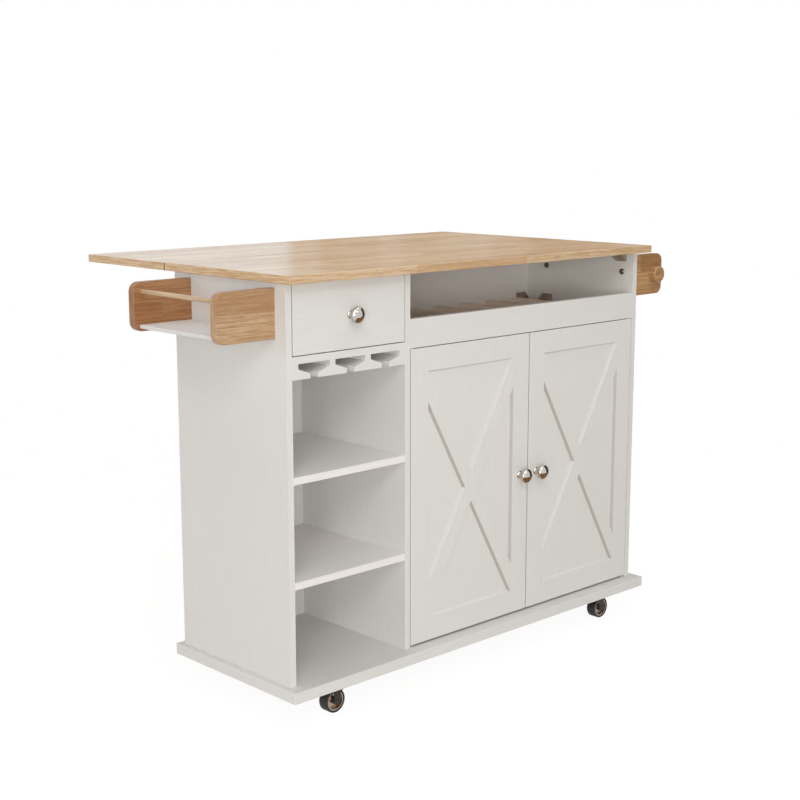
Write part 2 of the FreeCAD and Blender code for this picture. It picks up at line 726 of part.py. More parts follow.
def door_pin_bore(x, z, length, clearance):
    """Return an upright bore on a door's pivot axis."""
    return rod(x, FRONT_Y + DOOR_PIN_SETBACK, z, DOOR_PIN_RADIUS + clearance, length, Z_AXIS)


def make_door(left_x, pin_x, knob_x):
    door = box(
        left_x, left_x + DOOR_WIDTH,
        FRONT_Y, FRONT_Y + DOOR_THICKNESS,
        DOOR_BOTTOM_Z, DOOR_TOP_Z,
    )
    cutters = [field_cutter(points, FRONT_Y) for points in door_fields(left_x)]
    bore = DOOR_PIN_REACH + 1.5
    cutters.append(door_pin_bore(pin_x, DOOR_BOTTOM_Z - 1.0, bore, RUNNING_CLEARANCE))
    cutters.append(door_pin_bore(pin_x, DOOR_TOP_Z - bore + 1.0, bore, RUNNING_CLEARANCE))
    cutters.append(knob_screw_hole(knob_x, DOOR_MIDDLE_Z, DOOR_THICKNESS))
    return door.cut(cutters)


def make_door_pins():
    pins = []
    y = FRONT_Y + DOOR_PIN_SETBACK
    reach = DOOR_PIN_REACH
    low_collar = DOOR_BOTTOM_GAP - MOVING_GAP / 2
    high_collar = DOOR_TOP_GAP - MOVING_GAP / 2
    for x in door_pin_places():
        low = [
            (0.0, -reach), (DOOR_PIN_RADIUS, -reach), (DOOR_PIN_RADIUS, 0.0),
            (DOOR_COLLAR_RADIUS, 0.0), (DOOR_COLLAR_RADIUS, low_collar),
            (DOOR_PIN_RADIUS, low_collar), (DOOR_PIN_RADIUS, low_collar + reach),
            (0.0, low_collar + reach),
        ]
        pins.append(turned(low, FreeCAD.Vector(x, y, FLOOR_Z), Z_AXIS))
        high = [
            (0.0, reach), (DOOR_PIN_RADIUS, reach), (DOOR_PIN_RADIUS, 0.0),
            (DOOR_COLLAR_RADIUS, 0.0), (DOOR_COLLAR_RADIUS, -high_collar),
            (DOOR_PIN_RADIUS, -high_collar), (DOOR_PIN_RADIUS, -high_collar - reach),
            (0.0, -high_collar - reach),
        ]
        pins.append(turned(high, FreeCAD.Vector(x, y, DECK_UNDERSIDE), Z_AXIS))
    return pins


def make_door_catch():
    y = FRONT_Y + DOOR_THICKNESS + STRIKE_THICKNESS + MOVING_GAP
    block = box(
        DOOR_MEETING_X - CATCH_LENGTH / 2, DOOR_MEETING_X + CATCH_LENGTH / 2,
        y, y + CATCH_DEPTH,
        DECK_UNDERSIDE - CATCH_HEIGHT, DECK_UNDERSIDE,
    )
    return rounded(block, edges_along(block, Z_AXIS), 2.0)


def make_strike(side):
    """Return a strike plate on a door's back; side -1 is the left door."""
    middle = DOOR_MEETING_X + side * CATCH_LENGTH / 4
    y = FRONT_Y + DOOR_THICKNESS
    z = (DECK_UNDERSIDE - CATCH_HEIGHT + DOOR_TOP_Z) / 2
    plate = box(
        middle - STRIKE_LENGTH / 2, middle + STRIKE_LENGTH / 2,
        y, y + STRIKE_THICKNESS,
        z - STRIKE_HEIGHT / 2, z + STRIKE_HEIGHT / 2,
    )
    return rounded(plate, edges_along(plate, Y_AXIS), 2.0)


# ---- knobs ----

def knob_screw_hole(x, z, board):
    """Return the hole a knob's screw fills in its board."""
    radius = KNOB_SCREW_RADIUS + FIXED_CLEARANCE
    return rod(x, FRONT_Y - 1.0, z, radius, board + 2.0, Y_AXIS)


def cap_middle(radius, height):
    """Return the (radius, height) halfway along a round cap's arc, measured from its rim."""
    sphere = (radius ** 2 + height ** 2) / (2 * height)
    half_angle = math.asin(radius / sphere) / 2
    return sphere * math.sin(half_angle), sphere * math.cos(half_angle) - sphere + height


def make_knob(x, z, board):
    """Return a turned mushroom knob and the screw that holds it."""
    length = KNOB_LENGTH
    head = KNOB_HEAD_RADIUS
    neck = KNOB_NECK_RADIUS
    foot = KNOB_BASE_RADIUS
    bore = KNOB_SCREW_RADIUS + FIXED_CLEARANCE
    rim = length - KNOB_CAP
    cap_radius, cap_rise = cap_middle(head - 1.2, KNOB_CAP)
    profile = [
        (bore, 0.0),
        (foot, 0.0),
        (foot, 1.6),
        (neck, 6.2, (foot - 2.25, 3.6)),
        (neck, 10.0),
        (head - 1.3, rim - 7.0, (neck + 3.9, rim - 11.6)),
        (head, rim - 4.0, (head - 0.2, rim - 6.0)),
        (head - 1.2, rim, (head - 0.2, rim - 2.0)),
        (0.0, length, (cap_radius, rim + cap_rise)),
        (0.0, KNOB_SCREW_REACH + 1.0),
        (bore, KNOB_SCREW_REACH + 1.0),
    ]
    knob = turned(profile, FreeCAD.Vector(x, FRONT_Y, z), -Y_AXIS)
    head_radius = KNOB_SCREW_HEAD_RADIUS
    shank = board + KNOB_SCREW_REACH
    screw_profile = [
        (0.0, -KNOB_SCREW_HEAD),
        (head_radius * 0.7, -KNOB_SCREW_HEAD),
        (head_radius, -KNOB_SCREW_HEAD * 0.4),
        (head_radius, 0.0),
        (KNOB_SCREW_RADIUS, 0.0),
        (KNOB_SCREW_RADIUS, shank),
        (0.0, shank),
    ]
    fixing = turned(screw_profile, FreeCAD.Vector(x, FRONT_Y + board, z), -Y_AXIS)
    return [knob, fixing]


# ---- drawer ----

def make_drawer_front():
    front = box(
        DRAWER_FRONT_LEFT_X, DRAWER_FRONT_RIGHT_X,
        FRONT_Y, FRONT_Y + BOARD,
        DRAWER_FRONT_BOTTOM_Z, DRAWER_FRONT_TOP_Z,
    )
    return front.cut(knob_screw_hole(OPEN_BAY_MIDDLE_X, DRAWER_FRONT_MIDDLE_Z, BOARD))


def drawer_groove():
    """Return the block that the bottom's grooves take out of the drawer box."""
    low = DRAWER_BOX_Z + DRAWER_BOTTOM_LIFT
    return box(
        DRAWER_BOX_LEFT_X + DRAWER_BOARD - GROOVE_DEPTH,
        DRAWER_BOX_RIGHT_X - DRAWER_BOARD + GROOVE_DEPTH,
        DRAWER_BOX_FRONT_Y - 1.0,
        DRAWER_BOX_FRONT_Y + DRAWER_BOX_DEPTH - DRAWER_BOARD + GROOVE_DEPTH,
        low, low + DRAWER_BOTTOM,
    )


def make_drawer_sides():
    sides = []
    for x in (DRAWER_BOX_LEFT_X, DRAWER_BOX_RIGHT_X - DRAWER_BOARD):
        side = box(
            x, x + DRAWER_BOARD,
            DRAWER_BOX_FRONT_Y, DRAWER_BOX_FRONT_Y + DRAWER_BOX_DEPTH,
            DRAWER_BOX_Z, DRAWER_BOX_Z + DRAWER_BOX_HEIGHT,
        )
        sides.append(side.cut(drawer_groove()))
    return sides


def make_drawer_back():
    rear = DRAWER_BOX_FRONT_Y + DRAWER_BOX_DEPTH
    back = box(
        DRAWER_BOX_LEFT_X + DRAWER_BOARD, DRAWER_BOX_RIGHT_X - DRAWER_BOARD,
        rear - DRAWER_BOARD, rear,
        DRAWER_BOX_Z, DRAWER_BOX_Z + DRAWER_BOX_HEIGHT,
    )
    return back.cut(drawer_groove())


def make_drawer_bottom():
    low = DRAWER_BOX_Z + DRAWER_BOTTOM_LIFT
    play = FIXED_CLEARANCE * 4
    return box(
        DRAWER_BOX_LEFT_X + DRAWER_BOARD - GROOVE_DEPTH + play,
        DRAWER_BOX_RIGHT_X - DRAWER_BOARD + GROOVE_DEPTH - play,
        DRAWER_BOX_FRONT_Y,
        DRAWER_BOX_FRONT_Y + DRAWER_BOX_DEPTH - DRAWER_BOARD + GROOVE_DEPTH - play,
        low, low + DRAWER_BOTTOM,
    )


def channel(web_x, lip_x, half_height):
    """Return a C channel with its web at one X and its lips ending at another."""
    direction = 1 if lip_x > web_x else -1
    steel = SLIDE_STEEL * direction
    outline = [
        (web_x, -half_height), (lip_x, -half_height), (lip_x, -half_height + SLIDE_STEEL),
        (web_x + steel, -half_height + SLIDE_STEEL), (web_x + steel, half_height - SLIDE_STEEL),
        (lip_x, half_height - SLIDE_STEEL), (lip_x, half_height), (web_x, half_height),
    ]
    points = [FreeCAD.Vector(x, DRAWER_BOX_FRONT_Y, SLIDE_MIDDLE_Z + z) for x, z in outline]
    return prism(points, Y_AXIS * SLIDE_LENGTH)


def make_fixed_slides():
    half = SLIDE_HEIGHT / 2
    return [
        channel(LEFT_WALL_X, LEFT_WALL_X + SLIDE_REACH, half),
        channel(DIVIDER_LEFT_X, DIVIDER_LEFT_X - SLIDE_REACH, half),
    ]


def make_moving_slides():
    half = SLIDE_HEIGHT / 2 - SLIDE_STEEL - SLIDE_LIP_GAP
    return [
        channel(DRAWER_BOX_LEFT_X, DRAWER_BOX_LEFT_X - SLIDE_REACH, half),
        channel(DRAWER_BOX_RIGHT_X, DRAWER_BOX_RIGHT_X + SLIDE_REACH, half),
    ]


# ---- worktop, leaf and their hinges ----

def make_top_board():
    board = box(-HALF_TOP, HALF_TOP, 0.0, TOP_DEPTH, TOP_UNDERSIDE, TOP_HEIGHT)
    edges = [e for e in board.Edges if min(v.Y for v in e.Vertexes) < TOP_DEPTH - 1.0]
    board = rounded(board, edges, TOP_EDGE_ROUND)
    return cut_screw_holes(board, hinge_screw_spots(-1), Z_AXIS)


def make_leaf_board():
    board = box(-HALF_TOP, HALF_TOP, LEAF_Y, LEAF_EDGE_Y, TOP_UNDERSIDE, TOP_HEIGHT)
    edges = [e for e in board.Edges if max(v.Y for v in e.Vertexes) > LEAF_Y + 1.0]
    board = rounded(board, edges, TOP_EDGE_ROUND)
    board = cut_screw_holes(board, hinge_screw_spots(1), Z_AXIS)
    return cut_screw_holes(board, stay_arm_screw_spots(), Z_AXIS)


def knuckle_spans(middle, first):
    """Return the X spans of every second knuckle of a hinge, starting with one index."""
    pitch = HINGE_LENGTH / HINGE_KNUCKLES
    start = middle - HINGE_LENGTH / 2
    spans = []
    for index in range(first, HINGE_KNUCKLES, 2):
        low = start + index * pitch
        high = low + pitch
        if index > 0:
            low += KNUCKLE_GAP / 2
        if index < HINGE_KNUCKLES - 1:
            high -= KNUCKLE_GAP / 2
        spans.append((low, high))
    return spans


def hinge_plate(middle, side):
    """Return one leaf of a butt hinge; side -1 is under the worktop, +1 under the leaf."""
    own = knuckle_spans(middle, 0 if side < 0 else 1)
    other = knuckle_spans(middle, 1 if side < 0 else 0)
    near = HINGE_Y + side * HINGE_PLATE_GAP
    far = HINGE_Y + side * HINGE_LEAF_WIDTH
    plate = box(
        middle - HINGE_LENGTH / 2, middle + HINGE_LENGTH / 2,
        min(near, far), max(near, far),
        TOP_UNDERSIDE - HINGE_STEEL, TOP_UNDERSIDE,
    )
    notch_y = HINGE_KNUCKLE_RADIUS + KNUCKLE_GAP
    notches = []
    for low, high in other:
        notches.append(box(
            low - KNUCKLE_GAP, high + KNUCKLE_GAP,
            HINGE_Y - notch_y, HINGE_Y + notch_y,
            TOP_UNDERSIDE - HINGE_STEEL - 1.0, TOP_UNDERSIDE + 1.0,
        ))
    plate = plate.cut(notches)
    for low, high in own:
        barrel = rod(low, HINGE_Y, HINGE_Z, HINGE_KNUCKLE_RADIUS, high - low, X_AXIS)
        plate = plate.fuse(barrel)
    clearance = FIXED_CLEARANCE if side < 0 else RUNNING_CLEARANCE
    start = middle - HINGE_LENGTH / 2 - 1.0
    bore = rod(start, HINGE_Y, HINGE_Z, HINGE_PIN_RADIUS + clearance, HINGE_LENGTH + 2.0, X_AXIS)
    plate = plate.cut(bore)
    spots = [s for s in hinge_screw_spots(side) if abs(s[0] - middle) < HINGE_LENGTH / 2]
    return cut_screw_holes(plate, spots, Z_AXIS)


def hinge_pin(middle):
    """Return a hinge pin with a small head at each end."""
    half = HINGE_LENGTH / 2
    profile = [
        (0.0, -half - HINGE_PIN_HEAD),
        (HINGE_PIN_HEAD_RADIUS, -half - HINGE_PIN_HEAD),
        (HINGE_PIN_HEAD_RADIUS, -half),
        (HINGE_PIN_RADIUS, -half),
        (HINGE_PIN_RADIUS, half),
        (HINGE_PIN_HEAD_RADIUS, half),
        (HINGE_PIN_HEAD_RADIUS, half + HINGE_PIN_HEAD),
        (0.0, half + HINGE_PIN_HEAD),
    ]
    return turned(profile, FreeCAD.Vector(middle, HINGE_Y, HINGE_Z), X_AXIS)


# ---- folding brackets under the leaf ----

def stay_planes(middle):
    """Return the X starts of a bracket's wall web, strut and arm web."""
    wall = middle
    strut = wall + STAY_STEEL + MOVING_GAP
    arm = strut + STRUT_THICKNESS + RIVET_HEAD + MOVING_GAP
    return wall, strut, arm


def make_wall_plate(middle):
    """Return a bracket's wall plate: a screw flange and a web that holds the strut."""
    web_x, _, _ = stay_planes(middle)
    low = STRUT_Z - STAY_WALL_TAIL
    high = HINGE_Z - STAY_WALL_TOP
    flange = box(
        web_x - STAY_FLANGE, web_x + STAY_STEEL,
        BACK_OUTER_Y, BACK_OUTER_Y + STAY_STEEL,
        low, high,
    )
    nose = STRUT_Y + RIVET_HEAD_RADIUS + 2.0
    outline = [
        (BACK_OUTER_Y, low), (nose - 4.0, low), (nose, low + 8.0),
        (nose, STRUT_Z + 14.0), (BACK_OUTER_Y + 7.0, high - 4.0), (BACK_OUTER_Y, high),
    ]
    points = [FreeCAD.Vector(web_x, y, z) for y, z in outline]
    plate = flange.fuse(prism(points, X_AXIS * STAY_STEEL)).removeSplitter()
    radius = RIVET_RADIUS + FIXED_CLEARANCE
    plate = plate.cut(rod(web_x - 1.0, STRUT_Y, STRUT_Z, radius, STAY_STEEL + 2.0, X_AXIS))
    spots = [s for s in stay_wall_screw_spots() if abs(s[0] - middle) < STAY_FLANGE]
    return cut_screw_holes(plate, spots, -Y_AXIS)


def strut_rivet(middle):
    """Return the rivet on which a bracket's strut turns."""
    web_x, strut_x, _ = stay_planes(middle)
    grip = strut_x + STRUT_THICKNESS + MOVING_GAP / 2 - web_x
    profile = [
        (0.0, -RIVET_HEAD),
        (RIVET_HEAD_RADIUS, -RIVET_HEAD),
        (RIVET_HEAD_RADIUS, 0.0),
        (RIVET_RADIUS, 0.0),
        (RIVET_RADIUS, grip),
        (RIVET_HEAD_RADIUS, grip),
        (RIVET_HEAD_RADIUS, grip + RIVET_HEAD - MOVING_GAP / 2),
        (0.0, grip + RIVET_HEAD - MOVING_GAP / 2),
    ]
    return turned(profile, FreeCAD.Vector(web_x, STRUT_Y, STRUT_Z), X_AXIS)


def capsule(y0, z0, y1, z1, x, width, thickness):
    """Return a flat bar with round ends between two points of a YZ plane."""
    radius = width / 2
    start = FreeCAD.Vector(x, y0, z0)
    end = FreeCAD.Vector(x, y1, z1)
    along = end - start
    along.normalize()
    across = along.cross(X_AXIS)
    a = start + across * radius
    b = end + across * radius
    c = end - across * radius
    d = start - across * radius
    edges = [
        Part.makeLine(a, b),
        Part.Arc(b, end + along * radius, c).toShape(),
        Part.makeLine(c, d),
        Part.Arc(d, start - along * radius, a).toShape(),
    ]
    return Part.Face(Part.Wire(edges)).extrude(X_AXIS * thickness)


def make_strut(middle):
    _, strut_x, _ = stay_planes(middle)
    bar = capsule(
        STRUT_Y, STRUT_Z, STRUT_Y + STRUT_RUN, STRUT_Z + STRUT_RISE,
        strut_x, STRUT_WIDTH, STRUT_THICKNESS,
    )
    radius = RIVET_RADIUS + RUNNING_CLEARANCE
    pivot = rod(strut_x - 1.0, STRUT_Y, STRUT_Z, radius, STRUT_THICKNESS + 2.0, X_AXIS)
    eye = rod(
        strut_x - 1.0, STRUT_Y + STRUT_RUN, STRUT_Z + STRUT_RISE,
        STAY_SLOT_WIDTH / 2, STRUT_THICKNESS + 2.0, X_AXIS,
    )
    return bar.cut([pivot, eye])


def make_arm(middle):
    """Return a bracket's arm: a screw flange and a slotted web under the leaf."""
    _, _, web_x = stay_planes(middle)
    start = STAY_ARM_Y
    end = STAY_ARM_END_Y
    flange = box(
        middle - STAY_FLANGE, web_x + STAY_STEEL,
        start, end,
        TOP_UNDERSIDE - STAY_STEEL, TOP_UNDERSIDE,
    )
    line_z = HINGE_Z - STAY_LINE
    foot_z = line_z - STRUT_WIDTH / 2
    outline = [
        (start, TOP_UNDERSIDE), (end, TOP_UNDERSIDE), (end, foot_z + 8.0),
        (end - 10.0, foot_z), (start + 20.0, foot_z), (start, foot_z + 10.0),
    ]
    points = [FreeCAD.Vector(web_x, y, z) for y, z in outline]
    arm = flange.fuse(prism(points, X_AXIS * STAY_STEEL)).removeSplitter()
    slot = capsule(
        STRUT_Y + STRUT_RUN, line_z, HINGE_Y + SLOT_REACH, line_z,
        web_x - 1.0, STAY_SLOT_WIDTH, STAY_STEEL + 2.0,
    )
    arm = arm.cut(slot)
    spots = [s for s in stay_arm_screw_spots() if abs(s[0] - middle) < STAY_FLANGE]
    return cut_screw_holes(arm, spots, Z_AXIS)


# ---- racks at the ends ----

def rack_plate(root_x, outer_x, front_y):
    """Return a rack plate: square at the cabinet, round at its two outer corners."""
    plate = box(
        min(root_x, outer_x), max(root_x, outer_x),
        front_y, front_y + PLATE_THICKNESS,
        PLATE_BOTTOM_Z, PLATE_TOP_Z,
    )
    corners = [e for e in edges_along(plate, Y_AXIS) if abs(e.Vertexes[0].X - outer_x) < 1e-6]
    plate = rounded(plate, corners, PLATE_CORNER)
    rims = []
    for edge in plate.Edges:
        at_root = all(abs(v.X - root_x) < 1e-6 for v in edge.Vertexes)
        across = abs(edge.Vertexes[0].Y - edge.Vertexes[-1].Y) > 1e-6
        if not at_root and not across:
            rims.append(edge)
    return rounded(plate, rims, PLATE_EDGE_ROUND)


def make_spice_plates():
    bolts = [rack_bolt_hole(y, side) for y, side in rack_bolt_places() if side < 0]
    socket_start = SPICE_FRONT_Y + PLATE_THICKNESS - SPICE_ROD_SOCKET
    socket_length = SPICE_BACK_Y + SPICE_ROD_SOCKET - socket_start
    radius = SPICE_ROD_RADIUS + FIXED_CLEARANCE
    sockets = rod(SPICE_ROD_X, socket_start, SPICE_ROD_Z, radius, socket_length, Y_AXIS)
    plates = []
    for y in (SPICE_FRONT_Y, SPICE_BACK_Y):
        plate = rack_plate(-HALF_CABINET, SPICE_OUTER_X, y)
        plates.append(plate.cut(bolts + [sockets]))
    return plates


def make_spice_shelf():
    shelf = box(
        SPICE_OUTER_X + SPICE_SHELF_SETBACK, -HALF_CABINET,
        SPICE_FRONT_Y + PLATE_THICKNESS, SPICE_BACK_Y,
        SPICE_SHELF_Z, SPICE_SHELF_Z + SPICE_SHELF_THICKNESS,
    )
    outer = [e for e in edges_along(shelf, Y_AXIS) if e.Vertexes[0].X < -HALF_CABINET - 1.0]
    return rounded(shelf, outer, 2.0)


def make_spice_rod():
    start = SPICE_FRONT_Y + PLATE_THICKNESS - SPICE_ROD_SOCKET
    length = SPICE_BACK_Y + SPICE_ROD_SOCKET - start
    return rod(SPICE_ROD_X, start, SPICE_ROD_Z, SPICE_ROD_RADIUS, length, Y_AXIS)


def make_towel_plates():
    bolts = [rack_bolt_hole(y, side) for y, side in rack_bolt_places() if side > 0]
    radius = TOWEL_ROD_RADIUS + RUNNING_CLEARANCE
    front_bore = rod(
        TOWEL_ROD_X, TOWEL_FRONT_Y - 1.0, TOWEL_ROD_Z, radius, PLATE_THICKNESS + 2.0, Y_AXIS,
    )
    spigot = TOWEL_ROD_SPIGOT + RUNNING_CLEARANCE
    back_bore = rod(
        TOWEL_ROD_X, TOWEL_BACK_Y - 1.0, TOWEL_ROD_Z, spigot, TOWEL_ROD_SPIGOT_LENGTH + 2.0, Y_AXIS,
    )
    front = rack_plate(HALF_CABINET, TOWEL_OUTER_X, TOWEL_FRONT_Y).cut(bolts + [front_bore])
    back = rack_plate(HALF_CABINET, TOWEL_OUTER_X, TOWEL_BACK_Y).cut(bolts + [back_bore])
    return [front, back]


def make_towel_rod():
    length = TOWEL_BACK_Y - TOWEL_FRONT_Y - MOVING_GAP
    profile = [
        (0.0, -TOWEL_KNOB_SPIGOT_LENGTH),
        (TOWEL_ROD_SPIGOT, -TOWEL_KNOB_SPIGOT_LENGTH),
        (TOWEL_ROD_SPIGOT, 0.0),
        (TOWEL_ROD_RADIUS, 0.0),
        (TOWEL_ROD_RADIUS, length),
        (TOWEL_ROD_SPIGOT, length),
        (TOWEL_ROD_SPIGOT, length + TOWEL_ROD_SPIGOT_LENGTH),
        (0.0, length + TOWEL_ROD_SPIGOT_LENGTH),
    ]
    return turned(profile, FreeCAD.Vector(TOWEL_ROD_X, TOWEL_FRONT_Y, TOWEL_ROD_Z), Y_AXIS)


def make_towel_knob():
    radius = TOWEL_KNOB_RADIUS
    curve = TOWEL_KNOB_ROUND
    length = TOWEL_KNOB_LENGTH
    inner = curve * (1.0 - math.sqrt(0.5))
    bore = TOWEL_ROD_SPIGOT + FIXED_CLEARANCE
    deep = TOWEL_KNOB_SPIGOT_LENGTH + MOVING_GAP
    profile = [
        (bore, 0.0),
        (radius, 0.0),
        (radius, length - curve),
        (radius - curve, length, (radius - inner, length - inner)),
        (0.0, length),
        (0.0, deep),
        (bore, deep),
    ]
    return turned(profile, FreeCAD.Vector(TOWEL_ROD_X, TOWEL_FRONT_Y, TOWEL_ROD_Z), -Y_AXIS)


def make_rack_bolts():
    bolts = []
    head = RACK_BOLT_HEAD_RADIUS
    socket = RACK_BOLT_SOCKET_RADIUS
    deep = -RACK_BOLT_HEAD + RACK_BOLT_SOCKET_DEPTH
    profile = [
        (0.0, deep),
        (socket, deep),
        (socket, -RACK_BOLT_HEAD),
        (head * 0.55, -RACK_BOLT_HEAD),
        (head, -0.8, (head * 0.9, -RACK_BOLT_HEAD * 0.66)),
        (head, 0.0),
        (RACK_BOLT_RADIUS, 0.0),
        (RACK_BOLT_RADIUS, RACK_BOLT_REACH),
        (0.0, RACK_BOLT_REACH),
    ]
    for y, side in rack_bolt_places():
        seat = FreeCAD.Vector(side * (HALF_CABINET - BOARD), y, RACK_BOLT_Z)
        bolts.append(turned(profile, seat, X_AXIS * side))
    return bolts


# ---- corner brackets ----

def corner_bracket(corner, out, up):
    """Return a gusseted corner bracket whose two legs run along out and up."""
    across = out.cross(up)
    half = BRACKET_WIDTH / 2
    leg = BRACKET_LEG
    wall = BRACKET_WALL

    def place(points, start, length):
        base = corner + across * start
        spots = [base + out * a + up * b for a, b in points]
        return prism(spots, across * length)

    angle = [(0, 0), (leg, 0), (leg, wall), (wall, wall), (wall, leg), (0, leg)]
    gusset = [(0, 0), (leg, 0), (leg, wall), (wall, leg), (0, leg)]
    bracket = place(angle, -half, BRACKET_WIDTH)
    bracket = bracket.fuse(place(gusset, -half, wall))
    bracket = bracket.fuse(place(gusset, half - wall, wall))
    return bracket.removeSplitter()


def make_corner_brackets():
    brackets = []
    walls = ((LEFT_WALL_X, X_AXIS), (DIVIDER_RIGHT_X, X_AXIS), (RIGHT_WALL_X, -X_AXIS))
    for x, out in walls:
        for y in (BRACKET_FRONT_Y, BRACKET_BACK_Y):
            corner = FreeCAD.Vector(x, y, TOP_UNDERSIDE)
            brackets.append(corner_bracket(corner, out, -Z_AXIS))
    corner = FreeCAD.Vector(RIGHT_WALL_X, BRACKET_BACK_Y, DECK_Z)
    brackets.append(corner_bracket(corner, -X_AXIS, Z_AXIS))
    corner = FreeCAD.Vector(RIGHT_WALL_X - BRACKET_END_INSET, BACK_INNER_Y, DECK_Z)
    brackets.append(corner_bracket(corner, -Y_AXIS, Z_AXIS))
    return brackets


# ---- casters ----

def make_caster_plates():
    plates = []
    spots = caster_screw_spots()
    for x, y, _ in caster_places():
        plate = box(
            x - CASTER_PLATE_LENGTH / 2, x + CASTER_PLATE_LENGTH / 2,
            y - CASTER_PLATE_WIDTH / 2, y + CASTER_PLATE_WIDTH / 2,
            CASTER_PLATE_Z, BASE_UNDERSIDE,
        )
        plate = rounded(plate, edges_along(plate, Z_AXIS), CASTER_PLATE_CORNER)
        kingpin_hole = rod(
            x, y, CASTER_PLATE_Z - 1.0,
            KINGPIN_RADIUS + RUNNING_CLEARANCE, CASTER_PLATE + 2.0, Z_AXIS,
        )
        mine = [s for s in spots if math.hypot(s[0] - x, s[1] - y) < CASTER_PLATE_LENGTH]
        plates.append(cut_screw_holes(plate.cut(kingpin_hole), mine, Z_AXIS))
    return plates


def make_fork(x, y, side):
    """Return a caster's swivel fork and the axle riveted in it; the wheel trails outwards."""
    low = FORK_UNDERSIDE
    crown = FORK_CROWN_Z
    axle_x = x + side * CASTER_TRAIL
    inner = WHEEL_WIDTH / 2 + FORK_SIDE_GAP
    outer = inner + FORK_STEEL
    outline = [
        (-FORK_BACK, crown), (-FORK_BACK, low - 1.0),
        (CASTER_TRAIL - 12.0, low - 9.0), (CASTER_TRAIL - 8.0, WHEEL_RADIUS - 3.0),
        (CASTER_TRAIL - 4.0, WHEEL_RADIUS - 7.0), (CASTER_TRAIL + 4.0, WHEEL_RADIUS - 7.0),
        (CASTER_TRAIL + 8.0, WHEEL_RADIUS - 2.0), (FORK_FRONT, low - 6.0), (FORK_FRONT, crown),
    ]
    points = [FreeCAD.Vector(x + side * u, y - outer, z) for u, z in outline]
    legs = prism(points, Y_AXIS * (2 * outer))
    reach = CASTER_TRAIL + 2 * FORK_FRONT
    space = box(x - reach, x + reach, y - inner, y + inner, 0.0, low)
    fork = legs.cut(space)
    corners = [e for e in edges_along(fork, Y_AXIS) if e.Vertexes[0].Z < WHEEL_RADIUS]
    fork = rounded(fork, corners, 3.0)
    fork = fork.fuse(rod(x, y, crown, RACE_RADIUS, RACE_HEIGHT, Z_AXIS))
    pin = CASTER_PLATE + MOVING_GAP / 2
    fork = fork.fuse(rod(x, y, RACE_Z, KINGPIN_RADIUS, pin, Z_AXIS)).removeSplitter()
    hole = rod(
        axle_x, y - outer - 1.0, WHEEL_RADIUS,
        AXLE_RADIUS + FIXED_CLEARANCE, 2 * outer + 2.0, Y_AXIS,
    )
    head = outer + AXLE_HEAD
    profile = [
        (0.0, -head),
        (AXLE_HEAD_RADIUS - 1.0, -head),
        (AXLE_HEAD_RADIUS, -outer),
        (AXLE_RADIUS, -outer),
        (AXLE_RADIUS, outer),
        (AXLE_HEAD_RADIUS, outer),
        (AXLE_HEAD_RADIUS - 1.0, head),
        (0.0, head),
    ]
    axle = turned(profile, FreeCAD.Vector(axle_x, y, WHEEL_RADIUS), Y_AXIS)
    return [fork.cut(hole), axle]


def make_wheel_core(x, y, side):
    """Return a caster wheel's core: hub, thin web and a rim that the tread grips."""
    half = WHEEL_WIDTH / 2
    rim = WHEEL_RADIUS - TREAD_DEPTH
    bore = AXLE_RADIUS + RUNNING_CLEARANCE
    web = WEB_THICKNESS / 2
    edge = half - 1.2
    profile = [
        (bore, -half), (HUB_RADIUS, -half), (HUB_RADIUS + 1.0, -web),
        (rim - RIM_WALL - 1.0, -web), (rim - RIM_WALL, -edge), (rim, -edge),
        (rim, edge), (rim - RIM_WALL, edge), (rim - RIM_WALL - 1.0, web),
        (HUB_RADIUS + 1.0, web), (HUB_RADIUS, half), (bore, half),
    ]
    middle = FreeCAD.Vector(x + side * CASTER_TRAIL, y, WHEEL_RADIUS)
    return turned(profile, middle, Y_AXIS)


def make_tread(x, y, side):
    """Return the soft tyre of a caster wheel."""
    half = WHEEL_WIDTH / 2
    outer = WHEEL_RADIUS
    inner = WHEEL_RADIUS - TREAD_DEPTH + FIXED_CLEARANCE
    curve = TREAD_ROUND
    bow = curve * (1.0 - math.sqrt(0.5))
    profile = [
        (inner, -half + 0.6), (inner + 0.8, -half), (outer - curve, -half),
        (outer, -half + curve, (outer - bow, -half + bow)),
        (outer, half - curve),
        (outer - curve, half, (outer - bow, half - bow)),
        (inner + 0.8, half), (inner, half - 0.6),
    ]
    middle = FreeCAD.Vector(x + side * CASTER_TRAIL, y, WHEEL_RADIUS)
    return turned(profile, middle, Y_AXIS)


# ---- write every piece ----

def write_cabinet():
    export("base_board", make_base_board())
    export("left_side_panel", make_side_panel(-1))
    export("right_side_panel", make_side_panel(1))
    export("centre_divider", make_divider())
    export("back_panel", make_back_panel())
    export("drawer_deck", make_drawer_deck())
    export("bay_deck", make_bay_deck())
    export("bay_front_rail", make_bay_rail())
    export("bottle_bars", make_bottle_bars())
    export("stemware_rails", make_stemware_rails())
    export("open_shelves", make_open_shelves())
    export("cabinet_shelf", make_cabinet_shelf())
    export("shelf_pins", make_shelf_pins())
    export("corner_brackets", make_corner_brackets())


def write_doors():
    left_pin, right_pin = door_pin_places()
    left_knob = LEFT_DOOR_X + DOOR_WIDTH - KNOB_INSET
    right_knob = RIGHT_DOOR_X + KNOB_INSET
    export("left_door", make_door(LEFT_DOOR_X, left_pin, left_knob))
    export("right_door", make_door(RIGHT_DOOR_X, right_pin, right_knob))
    export("left_door_knob", make_knob(left_knob, DOOR_MIDDLE_Z, DOOR_THICKNESS))
    export("right_door_knob", make_knob(right_knob, DOOR_MIDDLE_Z, DOOR_THICKNESS))
    export("left_strike_plate", make_strike(-1))
    export("right_strike_plate", make_strike(1))
    export("door_pivot_pins", make_door_pins())
    export("door_catch", make_door_catch())


